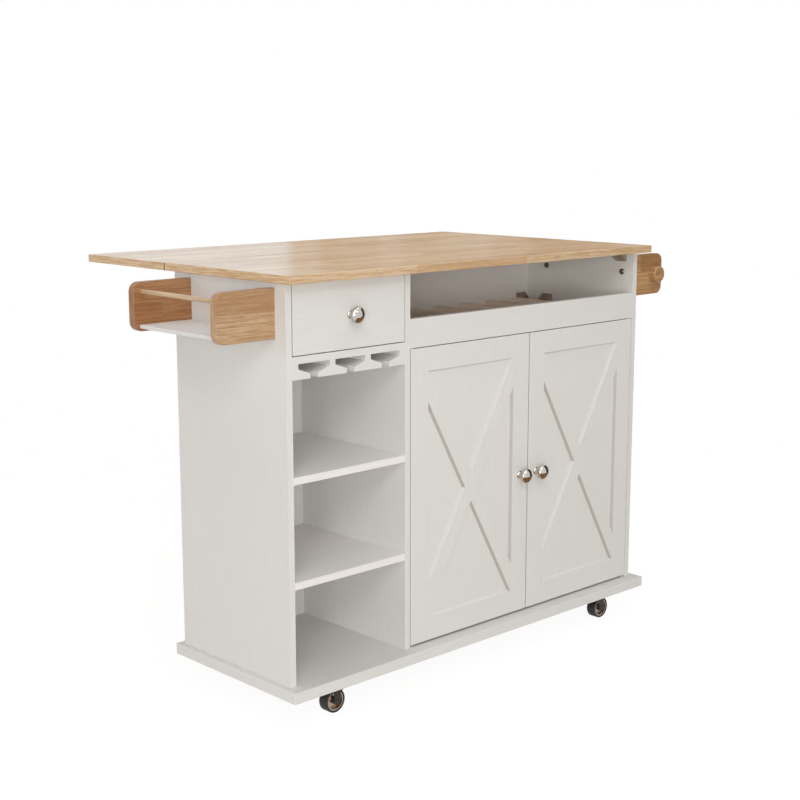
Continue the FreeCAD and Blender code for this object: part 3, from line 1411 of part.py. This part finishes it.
def write_drawer():
    export("drawer_front", make_drawer_front())
    export("drawer_sides", make_drawer_sides())
    export("drawer_back", make_drawer_back())
    export("drawer_bottom", make_drawer_bottom())
    export("drawer_knob", make_knob(OPEN_BAY_MIDDLE_X, DRAWER_FRONT_MIDDLE_Z, BOARD))
    export("drawer_slides_fixed", make_fixed_slides())
    export("drawer_slides_moving", make_moving_slides())


def write_top():
    top_hinges = []
    leaf_hinges = []
    for middle in HINGE_POSITIONS:
        top_hinges.append(hinge_plate(middle, -1))
        leaf_hinges.append(hinge_plate(middle, 1))
    export("top_board", make_top_board())
    export("leaf_board", make_leaf_board())
    export("top_hinge_plates", top_hinges)
    export("hinge_pins", [hinge_pin(middle) for middle in HINGE_POSITIONS])
    export("leaf_hinge_plates", leaf_hinges)
    wall_parts = []
    for middle in STAY_POSITIONS:
        wall_parts.append(make_wall_plate(middle))
        wall_parts.append(strut_rivet(middle))
    export("stay_wall_plates", wall_parts)
    export("left_stay_strut", make_strut(STAY_POSITIONS[0]))
    export("right_stay_strut", make_strut(STAY_POSITIONS[1]))
    export("stay_arms", [make_arm(middle) for middle in STAY_POSITIONS])


def write_racks():
    export("spice_rack_plates", make_spice_plates())
    export("spice_rack_shelf", make_spice_shelf())
    export("spice_rack_rod", make_spice_rod())
    export("towel_rail_plates", make_towel_plates())
    export("towel_rod", make_towel_rod())
    export("towel_rod_knob", make_towel_knob())
    export("rack_bolts", make_rack_bolts())


def write_screws():
    cabinet_screws = [screw(x, y, z, Z_AXIS) for x, y, z in caster_screw_spots()]
    cabinet_screws += [screw(x, y, z, Z_AXIS) for x, y, z in hinge_screw_spots(-1)]
    cabinet_screws += [screw(x, y, z, -Y_AXIS) for x, y, z in stay_wall_screw_spots()]
    leaf_screws = [screw(x, y, z, Z_AXIS) for x, y, z in hinge_screw_spots(1)]
    leaf_screws += [screw(x, y, z, Z_AXIS) for x, y, z in stay_arm_screw_spots()]
    export("cabinet_screws", cabinet_screws)
    export("leaf_screws", leaf_screws)


def write_casters():
    export("caster_plates", make_caster_plates())
    names = ("front_left", "front_right", "rear_left", "rear_right")
    for name, (x, y, side) in zip(names, caster_places()):
        export(name + "_caster_fork", make_fork(x, y, side))
        export(name + "_wheel_core", make_wheel_core(x, y, side))
        export(name + "_wheel_tread", make_tread(x, y, side))


os.makedirs("parts", exist_ok=True)
write_cabinet()
write_doors()
write_drawer()
write_top()
write_racks()
write_screws()
write_casters()
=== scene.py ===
import math
import bpy
from mathutils import Matrix, Vector

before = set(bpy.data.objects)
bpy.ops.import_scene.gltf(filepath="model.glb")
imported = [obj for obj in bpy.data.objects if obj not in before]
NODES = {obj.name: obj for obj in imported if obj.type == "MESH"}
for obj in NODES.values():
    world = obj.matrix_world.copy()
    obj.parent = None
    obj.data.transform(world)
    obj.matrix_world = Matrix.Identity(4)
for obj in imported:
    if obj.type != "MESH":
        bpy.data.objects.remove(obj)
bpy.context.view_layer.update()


# ---- small node-tree language ----

class Tree:
    """A material's node tree, with short calls for the nodes used below."""

    def __init__(self, name, shader="ShaderNodeBsdfPrincipled"):
        self.material = bpy.data.materials.new(name)
        self.material.use_nodes = True
        self.nodes = self.material.node_tree.nodes
        self.links = self.material.node_tree.links
        self.nodes.clear()
        self.output = self.nodes.new("ShaderNodeOutputMaterial")
        self.shader = self.nodes.new(shader)
        self.links.new(self.shader.outputs[0], self.output.inputs[0])

    def put(self, socket, value):
        """Link a node's output to a socket, or set a plain value on it."""
        if isinstance(value, bpy.types.NodeSocket):
            self.links.new(value, socket)
        else:
            socket.default_value = value

    def coords(self):
        """Return the piece's own coordinates, in the part's frame, and its unbent surface normal."""
        node = self.nodes.new("ShaderNodeTexCoord")
        return node.outputs["Object"], node.outputs["Normal"]

    def split(self, vector):
        node = self.nodes.new("ShaderNodeSeparateXYZ")
        self.put(node.inputs[0], vector)
        return node.outputs[0], node.outputs[1], node.outputs[2]

    def join(self, x, y, z):
        node = self.nodes.new("ShaderNodeCombineXYZ")
        for socket, value in zip(node.inputs, (x, y, z)):
            self.put(socket, value)
        return node.outputs[0]

    def math(self, operation, a, b=0.0, c=0.0, clamp=False):
        node = self.nodes.new("ShaderNodeMath")
        node.operation = operation
        node.use_clamp = clamp
        for socket, value in zip(node.inputs, (a, b, c)):
            self.put(socket, value)
        return node.outputs[0]

    def noise(self, vector, scale, detail=2.0, rough=0.5, distortion=0.0):
        node = self.nodes.new("ShaderNodeTexNoise")
        self.put(node.inputs["Vector"], vector)
        node.inputs["Scale"].default_value = scale
        node.inputs["Detail"].default_value = detail
        node.inputs["Roughness"].default_value = rough
        node.inputs["Distortion"].default_value = distortion
        return node.outputs[0]

    def white(self, vector):
        node = self.nodes.new("ShaderNodeTexWhiteNoise")
        node.noise_dimensions = "3D"
        self.put(node.inputs["Vector"], vector)
        return node.outputs["Value"]

    def ramp(self, value, low, high, to_low=0.0, to_high=1.0):
        """Return a smooth step from to_low at low to to_high at high; low may be the larger."""
        node = self.nodes.new("ShaderNodeMapRange")
        node.interpolation_type = "SMOOTHSTEP"
        self.put(node.inputs[0], value)
        for socket, number in zip(list(node.inputs)[1:5], (low, high, to_low, to_high)):
            self.put(socket, number)
        return node.outputs[0]

    def mix(self, factor, a, b, blend="MIX"):
        node = self.nodes.new("ShaderNodeMix")
        node.data_type = "RGBA"
        node.blend_type = blend
        self.put(node.inputs[0], factor)
        self.put(node.inputs[6], a)
        self.put(node.inputs[7], b)
        return node.outputs[2]

    def bump(self, height, distance, strength=1.0):
        node = self.nodes.new("ShaderNodeBump")
        node.inputs["Strength"].default_value = strength
        node.inputs["Distance"].default_value = distance
        self.put(node.inputs["Height"], height)
        self.put(self.shader.inputs["Normal"], node.outputs[0])

    def set(self, **values):
        """Put values on the shader's inputs, named with underscores for spaces."""
        for name, value in values.items():
            self.put(self.shader.inputs[name.replace("_", " ")], value)


def srgb(r, g, b):
    """Return a linear colour from 0-255 display values."""
    def lin(v):
        v /= 255.0
        return v / 12.92 if v <= 0.04045 else ((v + 0.055) / 1.055) ** 2.4
    return (lin(r), lin(g), lin(b), 1.0)


# ---- materials ----

# how strongly the routed grooves' left-facing and downward bevels are painted darker, as painted shade
BEVEL_PAINTED_SHADE = 0.85
UNDER_PAINTED_SHADE = 0.25
# glued wood: spacing that tells one board's thickness range from the next, and finger joints
BOARD_SPACING = 0.15
FINGER_HALF_PITCH = 0.0024
FINGER_SLANT = 3.2
FAR_SHIFT = 7.0


def board_material(name, grain_axis, low=(220, 218, 215), high=(226, 225, 222), routed=False):
    """Off-white laminate with a fine embossed grain along one axis.

    A routed board has bevelled grooves; its left-facing and downward bevels and its cut edges are
    painted darker, as painted shade.
    """
    t = Tree(name)
    place, normal = t.coords()
    x, y, z = t.split(place)
    stretch = {"X": (0.025, 1.0, 1.0), "Y": (1.0, 0.025, 1.0), "Z": (1.0, 1.0, 0.025)}[grain_axis]
    fine = t.join(*[t.math("MULTIPLY", c, s) for c, s in zip((x, y, z), stretch)])
    pores = t.noise(fine, 1500.0, 3.0, 0.6)
    bands = t.noise(fine, 420.0, 2.0, 0.5, 0.4)
    cloud = t.noise(place, 2.2, 2.0, 0.5)
    tone = t.math("ADD", t.math("MULTIPLY", pores, 0.55), t.math("MULTIPLY", bands, 0.45))
    shade = t.mix(t.ramp(tone, 0.34, 0.66), srgb(*low), srgb(*high))
    shade = t.mix(t.ramp(cloud, 0.3, 0.7, 0.0, 0.3), shade, srgb(*low))
    if routed:
        # painted shade: left-facing bevels, most of all the downward ones, are mixed toward darker
        # grey-browns
        nx, ny, nz = t.split(normal)
        slope = t.math("ABSOLUTE", ny)
        bevel = t.math("MULTIPLY", t.ramp(slope, 0.40, 0.50), t.ramp(slope, 0.95, 0.80))
        sideways = t.math("MULTIPLY", bevel, t.ramp(nx, -0.10, -0.40))
        left_bevel_shade = t.math("MULTIPLY", sideways, t.ramp(nz, 0.25, 0.05, 0.55, 1.0))
        under_bevel_shade = t.math("MULTIPLY", sideways, t.ramp(nz, 0.10, -0.15))
        shade = t.mix(t.math("MULTIPLY", left_bevel_shade, BEVEL_PAINTED_SHADE), shade, srgb(180, 173, 166))
        shade = t.mix(t.math("MULTIPLY", under_bevel_shade, UNDER_PAINTED_SHADE), shade, srgb(150, 138, 126))
        # painted shade of the gaps round a door or drawer front: its cut edges are mixed toward dark
        # grey-brown, most on upward-facing edges
        edge = t.math("MULTIPLY", t.ramp(slope, 0.30, 0.15), t.ramp(nz, 0.3, 0.7, 0.40, 0.90))
        shade = t.mix(edge, shade, srgb(118, 108, 98))
    t.set(Base_Color=shade, Roughness=t.ramp(tone, 0.3, 0.7, 0.52, 0.44))
    t.shader.inputs["Specular IOR Level"].default_value = 0.25
    t.bump(tone, 0.0002, 0.30)
    return t.material


def stave_material(name, along, across, width, length, tones, seed, gloss, spec, origin=0.0,
                   shade_beyond=None, sawn_tint=0.0, seam_shade_at=None):
    """Solid wood glued from finger-jointed staves; ends of boards show their long edge grain.

    An optional place and colour give painted shade: boards past that place, through their thickness,
    are darkened by multiplying with that colour.
    Sawn long edges take the dark tone by sawn_tint, and the faces that meet at a seam are painted
    near-black, as painted shade of the gap between them.
    """
    t = Tree(name)
    place, normal = t.coords()
    parts = dict(zip("XYZ", t.split(place)))
    sides = dict(zip("XYZ", t.split(normal)))
    third = ({"X", "Y", "Z"} - {along, across}).pop()
    a, b, c = parts[along], parts[across], parts[third]
    # rows of staves, each shifted by its own amount and cut into blocks
    strip = t.math("DIVIDE", t.math("ADD", b, 100 * width - origin), width)
    row = t.math("FLOOR", strip)
    board = t.math("FLOOR", t.math("MULTIPLY_ADD", c, 1.0 / BOARD_SPACING, 0.5))
    draw = t.math("MULTIPLY_ADD", board, 3.7, seed)
    shift = t.white(t.join(row, draw, 1.7))
    stretch = t.math("MULTIPLY_ADD", t.white(t.join(row, draw, 5.3)), 0.5, 0.75)
    finger = t.math("PINGPONG", t.math("ADD", b, 3.0), FINGER_HALF_PITCH)
    slant = t.math("MULTIPLY", finger, FINGER_SLANT)
    run = t.math("ADD", t.math("MULTIPLY_ADD", shift, length, a), slant)
    run = t.math("DIVIDE", t.math("ADD", run, FAR_SHIFT), t.math("MULTIPLY", stretch, length))
    block = t.math("FLOOR", run)
    pick = t.white(t.join(row, block, draw))
    pick2 = t.white(t.join(block, row, t.math("ADD", draw, 9.1)))
    # long grain, different in each block
    slide_a = t.math("MULTIPLY_ADD", pick, 13.0, a)
    slide_b = t.math("MULTIPLY_ADD", pick2, 5.0, b)
    bend = t.noise(t.join(t.math("MULTIPLY", slide_a, 3.0), slide_b, c), 6.0, 2.0, 0.5)
    wavy_b = t.math("MULTIPLY_ADD", bend, 0.004, slide_b)
    grain_in = t.join(t.math("MULTIPLY", slide_a, 0.030), wavy_b, c)
    figure = t.noise(grain_in, 230.0, 3.0, 0.60, 0.15)
    streak = t.noise(grain_in, 700.0, 4.0, 0.65)
    pore_in = t.join(t.math("MULTIPLY", slide_a, 0.06), slide_b, c)
    pores = t.ramp(t.noise(pore_in, 900.0, 2.0, 0.5), 0.60, 0.72)
    light, mid, dark, deep = tones
    base = t.mix(t.ramp(pick, 0.15, 0.85), mid, light)
    base = t.mix(t.ramp(pick2, 0.55, 1.0, 0.0, 0.80), base, dark)
    wood = t.mix(t.ramp(figure, 0.42, 0.62, 0.0, 0.60), base, dark)
    wood = t.mix(t.ramp(streak, 0.46, 0.66, 0.0, 0.50), wood, deep)
    wood = t.mix(t.math("MULTIPLY", pores, 0.40), wood, deep)
    # glue lines between the rows and at the finger joints
    edge_b = t.math("PINGPONG", strip, 0.5)
    seam = t.ramp(edge_b, 0.0, 0.0007 / width, 1.0, 0.0)
    edge_a = t.math("PINGPONG", run, 0.5)
    joint = t.ramp(edge_a, 0.0, 0.0006 / length, 1.0, 0.0)
    line = t.math("MAXIMUM", seam, joint)
    wood = t.mix(t.math("MULTIPLY", line, 0.45), wood, deep)
    # faces square to the grain: a closed, slightly darker long-edge grain
    end = t.ramp(t.math("ABSOLUTE", sides[along]), 0.80, 0.95)
    end_in = t.join(a, t.math("MULTIPLY", b, 0.05), c)
    end_grain = t.noise(end_in, 380.0, 3.0, 0.6)
    end_tone = t.mix(t.ramp(end_grain, 0.38, 0.66), mid, dark)
    wood = t.mix(end, wood, end_tone)
    sawn = t.ramp(t.math("ABSOLUTE", sides[across]), 0.80, 0.95)
    wood = t.mix(t.math("MULTIPLY", sawn, sawn_tint), wood, dark)
    # painted shade of the gap at the seam: faces within 1.4 mm of it are mixed toward near-black
    if seam_shade_at is not None:
        near = t.math("ABSOLUTE", t.math("SUBTRACT", b, seam_shade_at))
        wood = t.mix(t.ramp(near, 0.0014, 0.0017, 0.85, 0.0), wood, srgb(58, 38, 24))
    # painted shade: boards past the given place in depth are multiplied by the given warm colour
    if shade_beyond is not None:
        wood = t.mix(t.ramp(c, shade_beyond[0], shade_beyond[0] + 0.001, 0.0, 0.80), wood, shade_beyond[1], "MULTIPLY")
    t.set(Base_Color=wood, Roughness=t.ramp(streak, 0.3, 0.75, gloss, gloss + 0.12))
    t.shader.inputs["Specular IOR Level"].default_value = spec
    relief = t.math("ADD", t.math("MULTIPLY", pores, -0.6), t.math("MULTIPLY", line, -1.0))
    t.bump(relief, 0.0002, 0.35)
    return t.material


def metal_material(name, colour, rough, brushed=None, wear=0.04):
    """Plated or brushed metal, with faint smudges in the gloss."""
    t = Tree(name)
    place, _ = t.coords()
    smudge = t.noise(place, 90.0, 3.0, 0.6)
    t.set(Metallic=1.0)
    t.set(Roughness=t.ramp(smudge, 0.3, 0.75, rough, rough + wear))
    tint = t.mix(t.ramp(smudge, 0.35, 0.7, 0.0, 0.25), colour, srgb(150, 146, 140))
    t.set(Base_Color=tint)
    if brushed:
        x, y, z = t.split(place)
        stretch = {"X": (0.02, 1.0, 1.0), "Y": (1.0, 0.02, 1.0), "Z": (1.0, 1.0, 0.02)}[brushed]
        lines = t.join(*[t.math("MULTIPLY", c, s) for c, s in zip((x, y, z), stretch)])
        t.bump(t.noise(lines, 1500.0, 2.0, 0.6), 0.0001, 0.4)
    return t.material


def plastic_material(name, colour, worn, rough, grain=1400.0, depth=0.00008):
    """Moulded plastic or rubber with a fine skin and rubbed patches."""
    t = Tree(name)
    place, _ = t.coords()
    patch = t.noise(place, 55.0, 3.0, 0.6)
    skin = t.noise(place, grain, 2.0, 0.5)
    t.set(Base_Color=t.mix(t.ramp(patch, 0.42, 0.72, 0.0, 0.6), colour, worn))
    t.set(Roughness=t.ramp(patch, 0.3, 0.75, rough, rough + 0.14))
    t.bump(skin, depth, 0.5)
    return t.material


BOARD_X = board_material("white_board_grain_x", "X")
BOARD_Y = board_material("white_board_grain_y", "Y")
BOARD_Z = board_material("white_board_grain_z", "Z")
DOOR_BOARD = board_material("white_door_grain_z", "Z", routed=True)
DRAWER_BOARD = board_material("white_drawer_grain_x", "X", routed=True)
# painted light: the open shelves, back panel and cabinet shelf are a brighter copy of the white board,
# standing in for light the interior lacks
SHELF_BOARD_PAINTED_LIGHT = board_material("white_shelf_grain_x", "X", (234, 231, 227), (240, 238, 234))
# painted warm light: the white bottle bars are a brighter, warmer copy of the white board, standing in
# for warm light bounced inside the bay
BAR_BOARD_WARM_LIGHT = board_material("white_bar_grain_y", "Y", (240, 222, 204), (246, 230, 212))
TOP_TONES = (srgb(233, 212, 180), srgb(216, 187, 147), srgb(188, 146, 98), srgb(142, 96, 54))
RACK_TONES = (srgb(208, 178, 143), srgb(192, 160, 122), srgb(160, 117, 76), srgb(122, 78, 44))
ROD_TONES = (srgb(214, 190, 158), srgb(203, 176, 140), srgb(177, 140, 102), srgb(137, 95, 59))
TOWEL_TONES = (srgb(204, 164, 122), srgb(188, 148, 104), srgb(156, 112, 72), srgb(112, 72, 40))
# seam between the worktop's boards, and the glue line and stave width of the end racks' plates
SEAM_Y = 0.05925
PLATE_GLUE_Z = 0.8534
PLATE_STAVE = 0.0434
# the worktop and leaf faces that meet at the seam carry painted shade of the gap
TOP_WOOD = stave_material("worktop_staves", "X", "Y", 0.044, 0.34, TOP_TONES, 2.0, 0.15, 0.65,
                          sawn_tint=0.35, seam_shade_at=SEAM_Y)
# painted shade: the rack's back plate, past Y = -0.15, is darkened with a warm tone
RACK_WOOD = stave_material(
    "rack_staves", "X", "Z", PLATE_STAVE, 0.26, RACK_TONES, 765.5, 0.26, 0.45,
    origin=PLATE_GLUE_Z, shade_beyond=(-0.15, srgb(208, 172, 138)),
)
TOWEL_WOOD = stave_material(
    "towel_rail_staves", "X", "Z", PLATE_STAVE, 0.26, TOWEL_TONES, 3.0, 0.26, 0.45,
    origin=PLATE_GLUE_Z,
)
ROD_WOOD = stave_material("rod_wood", "Y", "X", 0.40, 2.0, ROD_TONES, 8.0, 0.22, 0.50)
KNOB_WOOD = stave_material("knob_wood", "Y", "X", 0.40, 2.0, TOWEL_TONES, 8.0, 0.24, 0.50)
CHROME = metal_material("polished_nickel", srgb(200, 195, 188), 0.06)
ZINC = metal_material("zinc_steel", srgb(176, 178, 180), 0.30, "Z", 0.10)
DARK_STEEL = plastic_material("black_painted_steel", srgb(22, 21, 20), srgb(36, 34, 32), 0.30)
BRACKET = plastic_material("bracket_plastic", srgb(158, 141, 126), srgb(138, 122, 108), 0.40)
BOLT = metal_material("dark_nickel", srgb(124, 108, 94), 0.18)
CORE = metal_material("caster_core", srgb(166, 148, 134), 0.24, None, 0.10)
TREAD = plastic_material("tread_rubber", srgb(14, 13, 12), srgb(26, 24, 22), 0.55, 900.0, 0.0002)


def dress(node, material):
    """Give a carried-over CAD node one material."""
    mesh = NODES[node].data
    mesh.materials.clear()
    mesh.materials.append(material)


BOARDS_X = ("base_board", "drawer_deck", "bay_deck", "bay_front_rail", "drawer_back", "drawer_bottom")
BOARDS_Y = ("stemware_rails", "drawer_sides", "spice_rack_shelf")
BOARDS_Z = ("left_side_panel", "right_side_panel", "centre_divider")
DOORS = ("left_door", "right_door")
SHELVES = ("open_shelves", "back_panel", "cabinet_shelf")
WHEELS = ("front_left", "front_right", "rear_left", "rear_right")
for names, material in (
    (BOARDS_X, BOARD_X), (BOARDS_Y, BOARD_Y), (BOARDS_Z, BOARD_Z), (DOORS, DOOR_BOARD),
    (SHELVES, SHELF_BOARD_PAINTED_LIGHT), (("drawer_front",), DRAWER_BOARD), (("bottle_bars",), BAR_BOARD_WARM_LIGHT),
):
    for name in names:
        dress(name, material)
for name in ("top_board", "leaf_board"):
    dress(name, TOP_WOOD)
dress("spice_rack_plates", RACK_WOOD)
dress("towel_rail_plates", TOWEL_WOOD)
dress("spice_rack_rod", ROD_WOOD)
dress("towel_rod", ROD_WOOD)
dress("towel_rod_knob", KNOB_WOOD)
dress("rack_bolts", BOLT)
for name in ("left_door_knob", "right_door_knob", "drawer_knob"):
    dress(name, CHROME)
for name in (
    "shelf_pins", "door_pivot_pins", "left_strike_plate", "right_strike_plate",
    "drawer_slides_fixed", "drawer_slides_moving", "top_hinge_plates", "hinge_pins",
    "leaf_hinge_plates", "stay_wall_plates", "left_stay_strut", "right_stay_strut",
    "stay_arms", "leaf_screws", "cabinet_screws",
):
    dress(name, ZINC)
for name in ("corner_brackets", "door_catch"):
    dress(name, BRACKET)
dress("caster_plates", DARK_STEEL)
for name in WHEELS:
    dress(name + "_caster_fork", DARK_STEEL)
    dress(name + "_wheel_core", CORE)
    dress(name + "_wheel_tread", TREAD)


def soften(node, width, segments=2):
    """Round a board's cut edges slightly, as a real edge band or sanded edge is."""
    obj = NODES[node]
    flat = obj.modifiers.new("merge_flat_faces", "DECIMATE")
    flat.decimate_type = "DISSOLVE"
    flat.angle_limit = math.radians(0.5)
    bevel = obj.modifiers.new("edge_round", "BEVEL")
    bevel.width = width
    bevel.segments = segments
    bevel.limit_method = "ANGLE"
    bevel.angle_limit = math.radians(40)
    bevel.harden_normals = False
    bevel.use_clamp_overlap = True


# width of the rounding on edge-banded boards, on those that meet at the bay's front, and on wood
BANDED_EDGE = 0.0005
BAY_EDGE = 0.0009
WOOD_EDGE = 0.0008
for name in BOARDS_X + BOARDS_Y + BOARDS_Z + DOORS + SHELVES + ("drawer_front", "bottle_bars"):
    if name != "base_board":
        soften(name, BAY_EDGE if name in ("bay_deck", "bay_front_rail") else BANDED_EDGE)
for name in ("top_board", "leaf_board"):
    soften(name, WOOD_EDGE)


# ---- floor, background, lamps and camera ----

FLOOR_HALF = 40.0


def floor_material():
    """White floor: the camera and gloss see it almost white, with the object's shadow kept softly."""
    t = Tree("studio_floor")
    place, _ = t.coords()
    x, y, _ = t.split(place)
    away = t.math("SQRT", t.math("ADD", t.math("MULTIPLY", x, x), t.math("MULTIPLY", y, y)))
    far = t.ramp(away, 0.9, 3.2)
    path = t.nodes.new("ShaderNodeLightPath")
    seen = t.math("MAXIMUM", path.outputs["Is Camera Ray"], path.outputs["Is Glossy Ray"])
    seen = t.math("MAXIMUM", seen, path.outputs["Is Transmission Ray"])
    paint = t.mix(t.math("MULTIPLY", seen, t.ramp(far, 0.0, 1.0, 0.86, 1.0)),
                  srgb(228, 222, 215), srgb(0, 0, 0))
    t.set(Base_Color=paint, Roughness=0.9)
    t.set(Emission_Color=(1.0, 1.0, 1.0, 1.0))
    t.set(Emission_Strength=t.math("MULTIPLY", seen, t.ramp(far, 0.0, 1.0, 0.94, 1.0)))
    t.shader.inputs["Specular IOR Level"].default_value = 0.0
    return t.material


def make_floor():
    size = FLOOR_HALF
    mesh = bpy.data.meshes.new("studio_floor")
    corners = [(-size, -size, 0), (size, -size, 0), (size, size, 0), (-size, size, 0)]
    mesh.from_pydata(corners, [], [(0, 1, 2, 3)])
    floor = bpy.data.objects.new("studio_floor", mesh)
    bpy.context.scene.collection.objects.link(floor)
    mesh.materials.append(floor_material())


def make_world(soft_light):
    world = bpy.data.worlds.new("studio")
    bpy.context.scene.world = world
    world.use_nodes = True
    nodes = world.node_tree.nodes
    links = world.node_tree.links
    nodes.clear()
    out = nodes.new("ShaderNodeOutputWorld")
    seen = nodes.new("ShaderNodeBackground")
    seen.inputs["Color"].default_value = (1.0, 1.0, 1.0, 1.0)
    seen.inputs["Strength"].default_value = 1.0
    light = nodes.new("ShaderNodeBackground")
    light.inputs["Color"].default_value = (1.0, 0.985, 0.965, 1.0)
    light.inputs["Strength"].default_value = soft_light
    path = nodes.new("ShaderNodeLightPath")
    either = nodes.new("ShaderNodeMath")
    either.operation = "MAXIMUM"
    links.new(path.outputs["Is Camera Ray"], either.inputs[0])
    links.new(path.outputs["Is Glossy Ray"], either.inputs[1])
    both = nodes.new("ShaderNodeMath")
    both.operation = "MAXIMUM"
    links.new(either.outputs[0], both.inputs[0])
    links.new(path.outputs["Is Transmission Ray"], both.inputs[1])
    mix = nodes.new("ShaderNodeMixShader")
    links.new(both.outputs[0], mix.inputs[0])
    links.new(light.outputs[0], mix.inputs[1])
    links.new(seen.outputs[0], mix.inputs[2])
    links.new(mix.outputs[0], out.inputs[0])


def area_lamp(name, place, target, width, height, power, colour=(1.0, 1.0, 1.0)):
    data = bpy.data.lights.new(name, "AREA")
    data.shape = "RECTANGLE"
    data.size = width
    data.size_y = height
    data.energy = power
    data.color = colour
    lamp = bpy.data.objects.new(name, data)
    aim = Vector(target) - Vector(place)
    lamp.matrix_world = Matrix.Translation(place) @ aim.to_track_quat("-Z", "Y").to_matrix().to_4x4()
    lamp.visible_camera = False
    bpy.context.scene.collection.objects.link(lamp)
    return lamp


def gloss_card(name, corners, colour):
    """A studio card that is seen only in reflections."""
    mesh = bpy.data.meshes.new(name)
    mesh.from_pydata(corners, [], [tuple(range(len(corners)))])
    card = bpy.data.objects.new(name, mesh)
    bpy.context.scene.collection.objects.link(card)
    t = Tree(name, "ShaderNodeEmission")
    t.put(t.shader.inputs["Color"], (*colour, 1.0))
    mesh.materials.append(t.material)
    card.visible_camera = False
    card.visible_diffuse = False
    card.visible_transmission = False
    card.visible_volume_scatter = False
    card.visible_shadow = False


def make_camera():
    forward = Vector((0.6786, 0.7120, -0.1804)).normalized()
    right = Vector((0.7239, -0.6899, 0.0)).normalized()
    up = right.cross(forward)
    turn = Matrix((right, up, -forward)).transposed().to_4x4()
    data = bpy.data.cameras.new("camera")
    data.lens = 64.83
    data.sensor_width = 36.0
    data.clip_end = 200.0
    camera = bpy.data.objects.new("camera", data)
    camera.matrix_world = Matrix.Translation((-2.30475, -2.48635, 1.188)) @ turn
    bpy.context.scene.collection.objects.link(camera)
    bpy.context.scene.camera = camera


make_camera()
make_floor()
make_world(0.16)
LAMPS = (
    ("front_left_low", (-5.5, -6.5, 1.3), (0.0, 0.0, 0.5), 4.5, 2.4, 290.0),
    ("front_left_high", (-4.5, -5.5, 5.0), (0.0, 0.0, 0.5), 4.0, 3.0, 188.0),
    ("front_high", (0.0, -7.0, 5.0), (0.0, 0.0, 0.5), 4.0, 3.0, 28.0),
    ("top", (0.0, -0.5, 5.0), (0.0, 0.0, 0.5), 5.0, 5.0, 102.0),
    ("left_back", (-7.0, 4.5, 2.4), (-0.5, 0.0, 0.5), 4.5, 3.0, 102.0),
    ("right_back", (6.5, 5.5, 3.0), (0.0, 0.0, 0.5), 4.5, 3.0, 50.0),
)
for lamp in LAMPS:
    area_lamp(*lamp)
for name in ("left_back", "right_back"):
    bpy.data.objects[name].visible_glossy = False

# Cards that only gloss sees: a beige far wall behind the worktop with brighter gaps, a dark
# side and a warm floor in front. The wall is given by headings in degrees from the camera.
FAR = 12.0
EYE = (-2.305, -2.486)
WALL_FOOT = 0.01
WALL_TOP = 5.0
WALL = (
    (50.2, 50.75, (0.69, 0.54, 0.41)), (49.6, 50.2, (0.74, 0.62, 0.50)),
    (48.8, 49.6, (0.64, 0.46, 0.32)), (47.2, 48.8, (0.67, 0.52, 0.38)),
    (46.3, 47.2, (0.75, 0.62, 0.50)), (44.8, 46.3, (0.67, 0.52, 0.38)),
    (43.3, 44.8, (0.69, 0.56, 0.43)), (42.8, 43.3, (0.73, 0.62, 0.51)),
    (41.3, 42.8, (0.65, 0.50, 0.37)), (38.0, 41.3, (0.54, 0.37, 0.25)),
    (30.0, 38.0, (0.60, 0.46, 0.34)),
)
for index, (start, stop, colour) in enumerate(WALL):
    ends = []
    for heading in (start, stop):
        angle = math.radians(heading)
        ends.append((EYE[0] + FAR * math.cos(angle), EYE[1] + FAR * math.sin(angle)))
    (x0, y0), (x1, y1) = ends
    corners = [(x0, y0, WALL_FOOT), (x1, y1, WALL_FOOT), (x1, y1, WALL_TOP), (x0, y0, WALL_TOP)]
    gloss_card("far_wall_%d" % index, corners, colour)
gloss_card("dark_side", [(1.5, -1.5, 0.0), (2.4, 0.6, 0.0), (2.4, 0.6, 2.2), (1.5, -1.5, 2.2)],
           (0.055, 0.058, 0.045))
gloss_card("warm_floor", [(-0.5, -1.9, 0.002), (1.7, -2.1, 0.002), (2.6, -0.4, 0.002),
                          (-0.5, -0.45, 0.002)], (0.30, 0.165, 0.08))

scene = bpy.context.scene
scene.view_settings.view_transform = "Standard"
